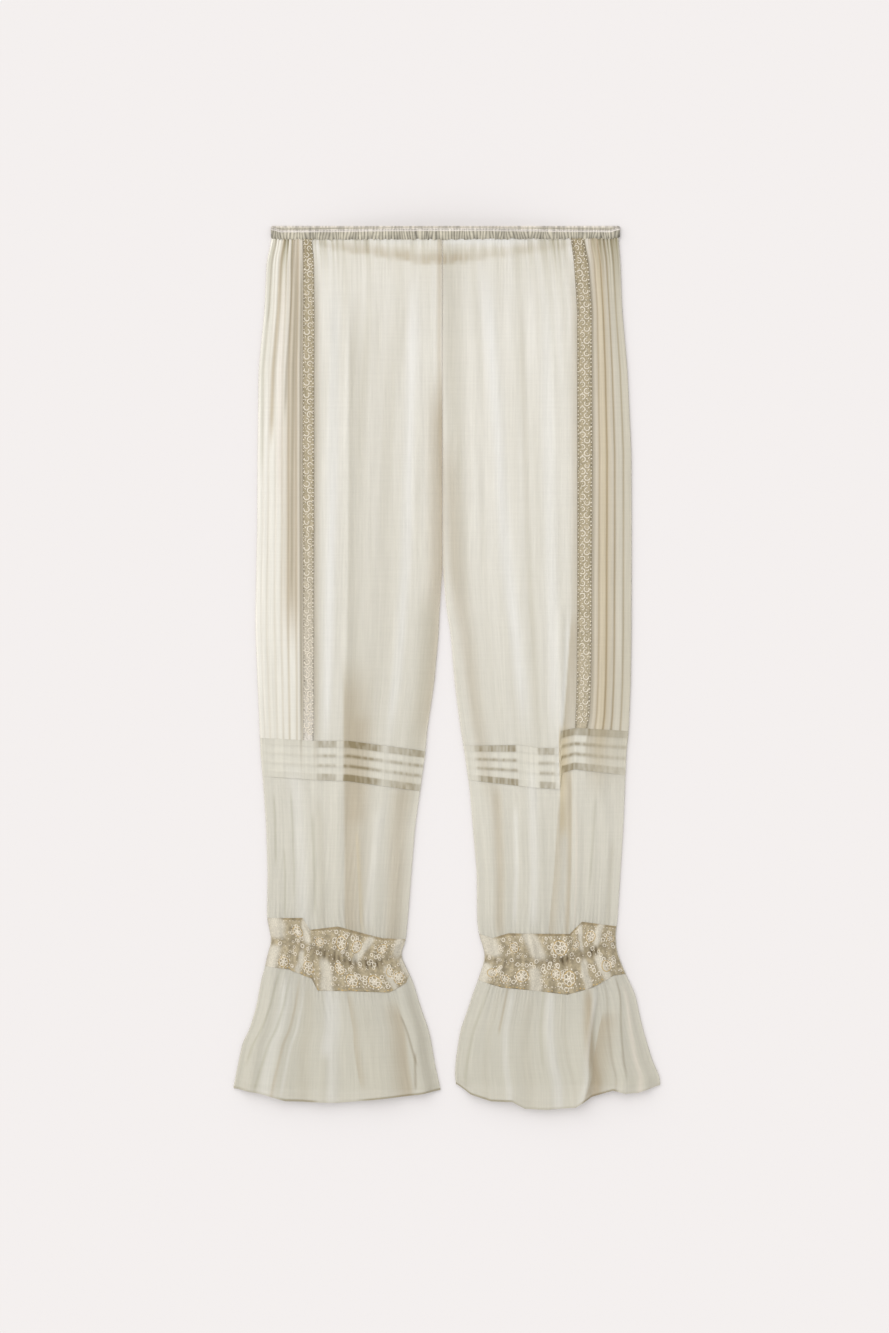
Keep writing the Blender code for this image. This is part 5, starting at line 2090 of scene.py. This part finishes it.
@dataclass
class Frill(Tube):
    """The flared frill that ends the leg."""

    top_height: float = 6.4
    rest_height: float = 6.6
    wave_share: float = 0.75
    gather_count: float = 30.0
    gather_height: float = 0.7
    crinkles: float = 0.3
    hem_row: float = 0.978
    hem_tint: str = "B7B09D"

    def wave(self, grid: Grid) -> Array:
        """Work out the frill's crests and hollows.

        Args:
            grid: Places of the piece.

        Returns:
            How high each place of the front stands over its flat state.
        """
        waves = self.leg.waves
        height = np.zeros_like(grid.across)
        done = np.zeros(len(height), bool)
        for start, end in zip(waves, waves[1:]):
            low = mix(start.across_top, start.across_hem, grid.row)
            high = mix(end.across_top, end.across_hem, grid.row)
            share = np.clip((grid.across - low) / np.maximum(high - low, 1e-6), 0.0, 1.0)
            here = ~done & (grid.across <= high)
            height = np.where(here, mix(start.height, end.height, ease(share)), height)
            done |= here
        calm = mix(self.rest_height, height, self.wave_share)
        return mix(self.top_height, calm, ease(0.35 + grid.row))

    def gathers(self, grid: Grid) -> Array:
        """Work out the ripples that run down from the cuff.

        Args:
            grid: Places of the piece.

        Returns:
            How far each place is up a ripple, from 0 to 1.
        """
        wide = millimetres(grid.across)
        reach = 0.15 + 0.09 * drift(wide, grid.row * 0.0, 10.0, 1.0, self.leg.seed + 7)
        wander = 1.6 * drift(wide, grid.row * 10.0, 14.0, 6.0, self.leg.seed + 8)
        ripples = np.cos((grid.across * self.gather_count + wander) * 2.0 * math.pi)
        return np.exp(-grid.row / reach) * (0.5 + 0.5 * ripples)

    def place(self, grid: Grid) -> Place:
        """Lay the frill.

        Args:
            grid: Places of the piece.

        Returns:
            Where the places lie.
        """
        down = self.level(grid)
        relief = self.wave(grid) + self.gather_height * self.gathers(grid)
        relief = relief + crinkle(self.leg, grid.across, down, self.crinkles)
        return wrap(self.leg, grid, down, np.maximum(relief, 0.0) * self.rim(grid))

    def colour(self, grid: Grid, laid: Place) -> Array:
        """Tint the frill, with painted shade in its hollows, gathers and creases, and darker along
        the hem.

        Args:
            grid: Places of the piece.
            laid: Where those places lie.

        Returns:
            A tint and a cover for each place.
        """
        colour = paint(self.leg, grid.across, laid.down)
        # Painted shade in the hollows between the waves and between the gathers at the top
        hollow = 1.0 - np.clip(self.wave(grid) / 11.0, 0.0, 1.0)
        shade = 1.0 - 0.04 * hollow - 0.08 * np.exp(-grid.row / 0.15) * (1.0 - self.gathers(grid))
        shade = shade * (1.0 + 0.03 * crinkle(self.leg, grid.across, laid.down, 1.0))
        colour *= shade[:, None]
        dark = read_line(self.leg.hem_shade, grid.across) * ease((grid.row - self.hem_row) / 0.008)
        turned = 0.05 * ease((grid.row - 0.93) / 0.01)
        colour *= mix(1.0, np.array(linear(self.hem_tint)), (0.75 * dark + turned)[:, None])
        return with_cover(colour, 1.0 + 0.3 * dark)

    def build(self) -> None:
        """Make and dress the frill."""
        hem_rows = (0.981, 0.986, 0.993, 1.0)
        rows = np.concatenate([np.linspace(0.0, 0.975, 54), hem_rows])
        frill = self.make("frill", "voile", "voile", VOILE, (190, 60), rows)
        frill.dress((0.47, 0.128), "laid", ["floor"])


@dataclass
class Studio:
    """The plain pale floor, the soft lights and the camera straight above, in metres."""

    floor_side: float = 40.0
    floor_drop: float = 0.0002
    paper: str = "E3DFDE"
    camera_height: float = 4.0
    view_height: float = 1.513
    middle_x: float = -0.0024
    middle_y: float = 0.001
    sky: float = 0.88
    sun: float = 1.37
    softness: float = 80.0
    toward_light: tuple[float, float, float] = (-0.75, 0.75, 1.0)
    sensor: float = 36.0

    def build_floor(self) -> None:
        """Lay the floor of matt paper, which has no gloss, so that only soft shade shows on it."""
        bm = bmesh.new()
        bmesh.ops.create_grid(bm, x_segments=1, y_segments=1, size=self.floor_side / 2)
        bmesh.ops.translate(bm, verts=bm.verts, vec=(0.0, 0.0, -self.floor_drop))
        made = bpy.data.materials.new("matt studio paper")
        made.use_nodes = True
        shader = made.node_tree.nodes["Principled BSDF"]
        shader.inputs["Base Color"].default_value = (*linear(self.paper), 1.0)
        shader.inputs["Roughness"].default_value = 1.0
        shader.inputs["Specular IOR Level"].default_value = 0.0
        finish_mesh(bm, "floor", made)

    def build_lights(self) -> None:
        """Hang a wide soft light toward the waist and the left, over an even pale sky."""
        world = bpy.data.worlds.new("studio")
        bpy.context.scene.world = world
        world.use_nodes = True
        backdrop = world.node_tree.nodes["Background"]
        backdrop.inputs["Color"].default_value = (1.0, 1.0, 1.0, 1.0)
        backdrop.inputs["Strength"].default_value = self.sky
        data = bpy.data.lights.new("softbox", "SUN")
        data.angle = math.radians(self.softness)
        data.energy = self.sun
        light = bpy.data.objects.new("softbox", data)
        light.rotation_euler = Vector(self.toward_light).to_track_quat("Z", "Y").to_euler()
        bpy.context.scene.collection.objects.link(light)

    def build_camera(self) -> None:
        """Hang the camera over the garment's middle, looking straight down."""
        data = bpy.data.cameras.new("camera")
        data.sensor_width = self.sensor
        data.lens = self.sensor * self.camera_height / self.view_height
        camera = bpy.data.objects.new("camera", data)
        camera.location = (self.middle_x, self.middle_y, self.camera_height)
        bpy.context.scene.collection.objects.link(camera)
        bpy.context.scene.camera = camera

    def build(self) -> None:
        """Make the whole studio."""
        self.build_camera()
        self.build_floor()
        self.build_lights()
        bpy.context.scene.view_settings.view_transform = "Standard"


def main() -> None:
    """Build the studio and the trousers in order."""
    logging.basicConfig(level=logging.INFO, format="%(name)s %(message)s")
    Studio().build()
    Waistband().build()
    for leg in LEGS:
        UpperLeg(leg).build()
        KneeBand(leg, (leg.knee_top, leg.knee_bottom)).build()
        LowerLeg(leg, (leg.knee_bottom, leg.cuff_top)).build()
        Cuff(leg, (leg.cuff_top, leg.gather, leg.lace_bottom)).build()
        Frill(leg, (leg.lace_bottom, leg.hem)).build()


if __name__ == "__main__":
    main()
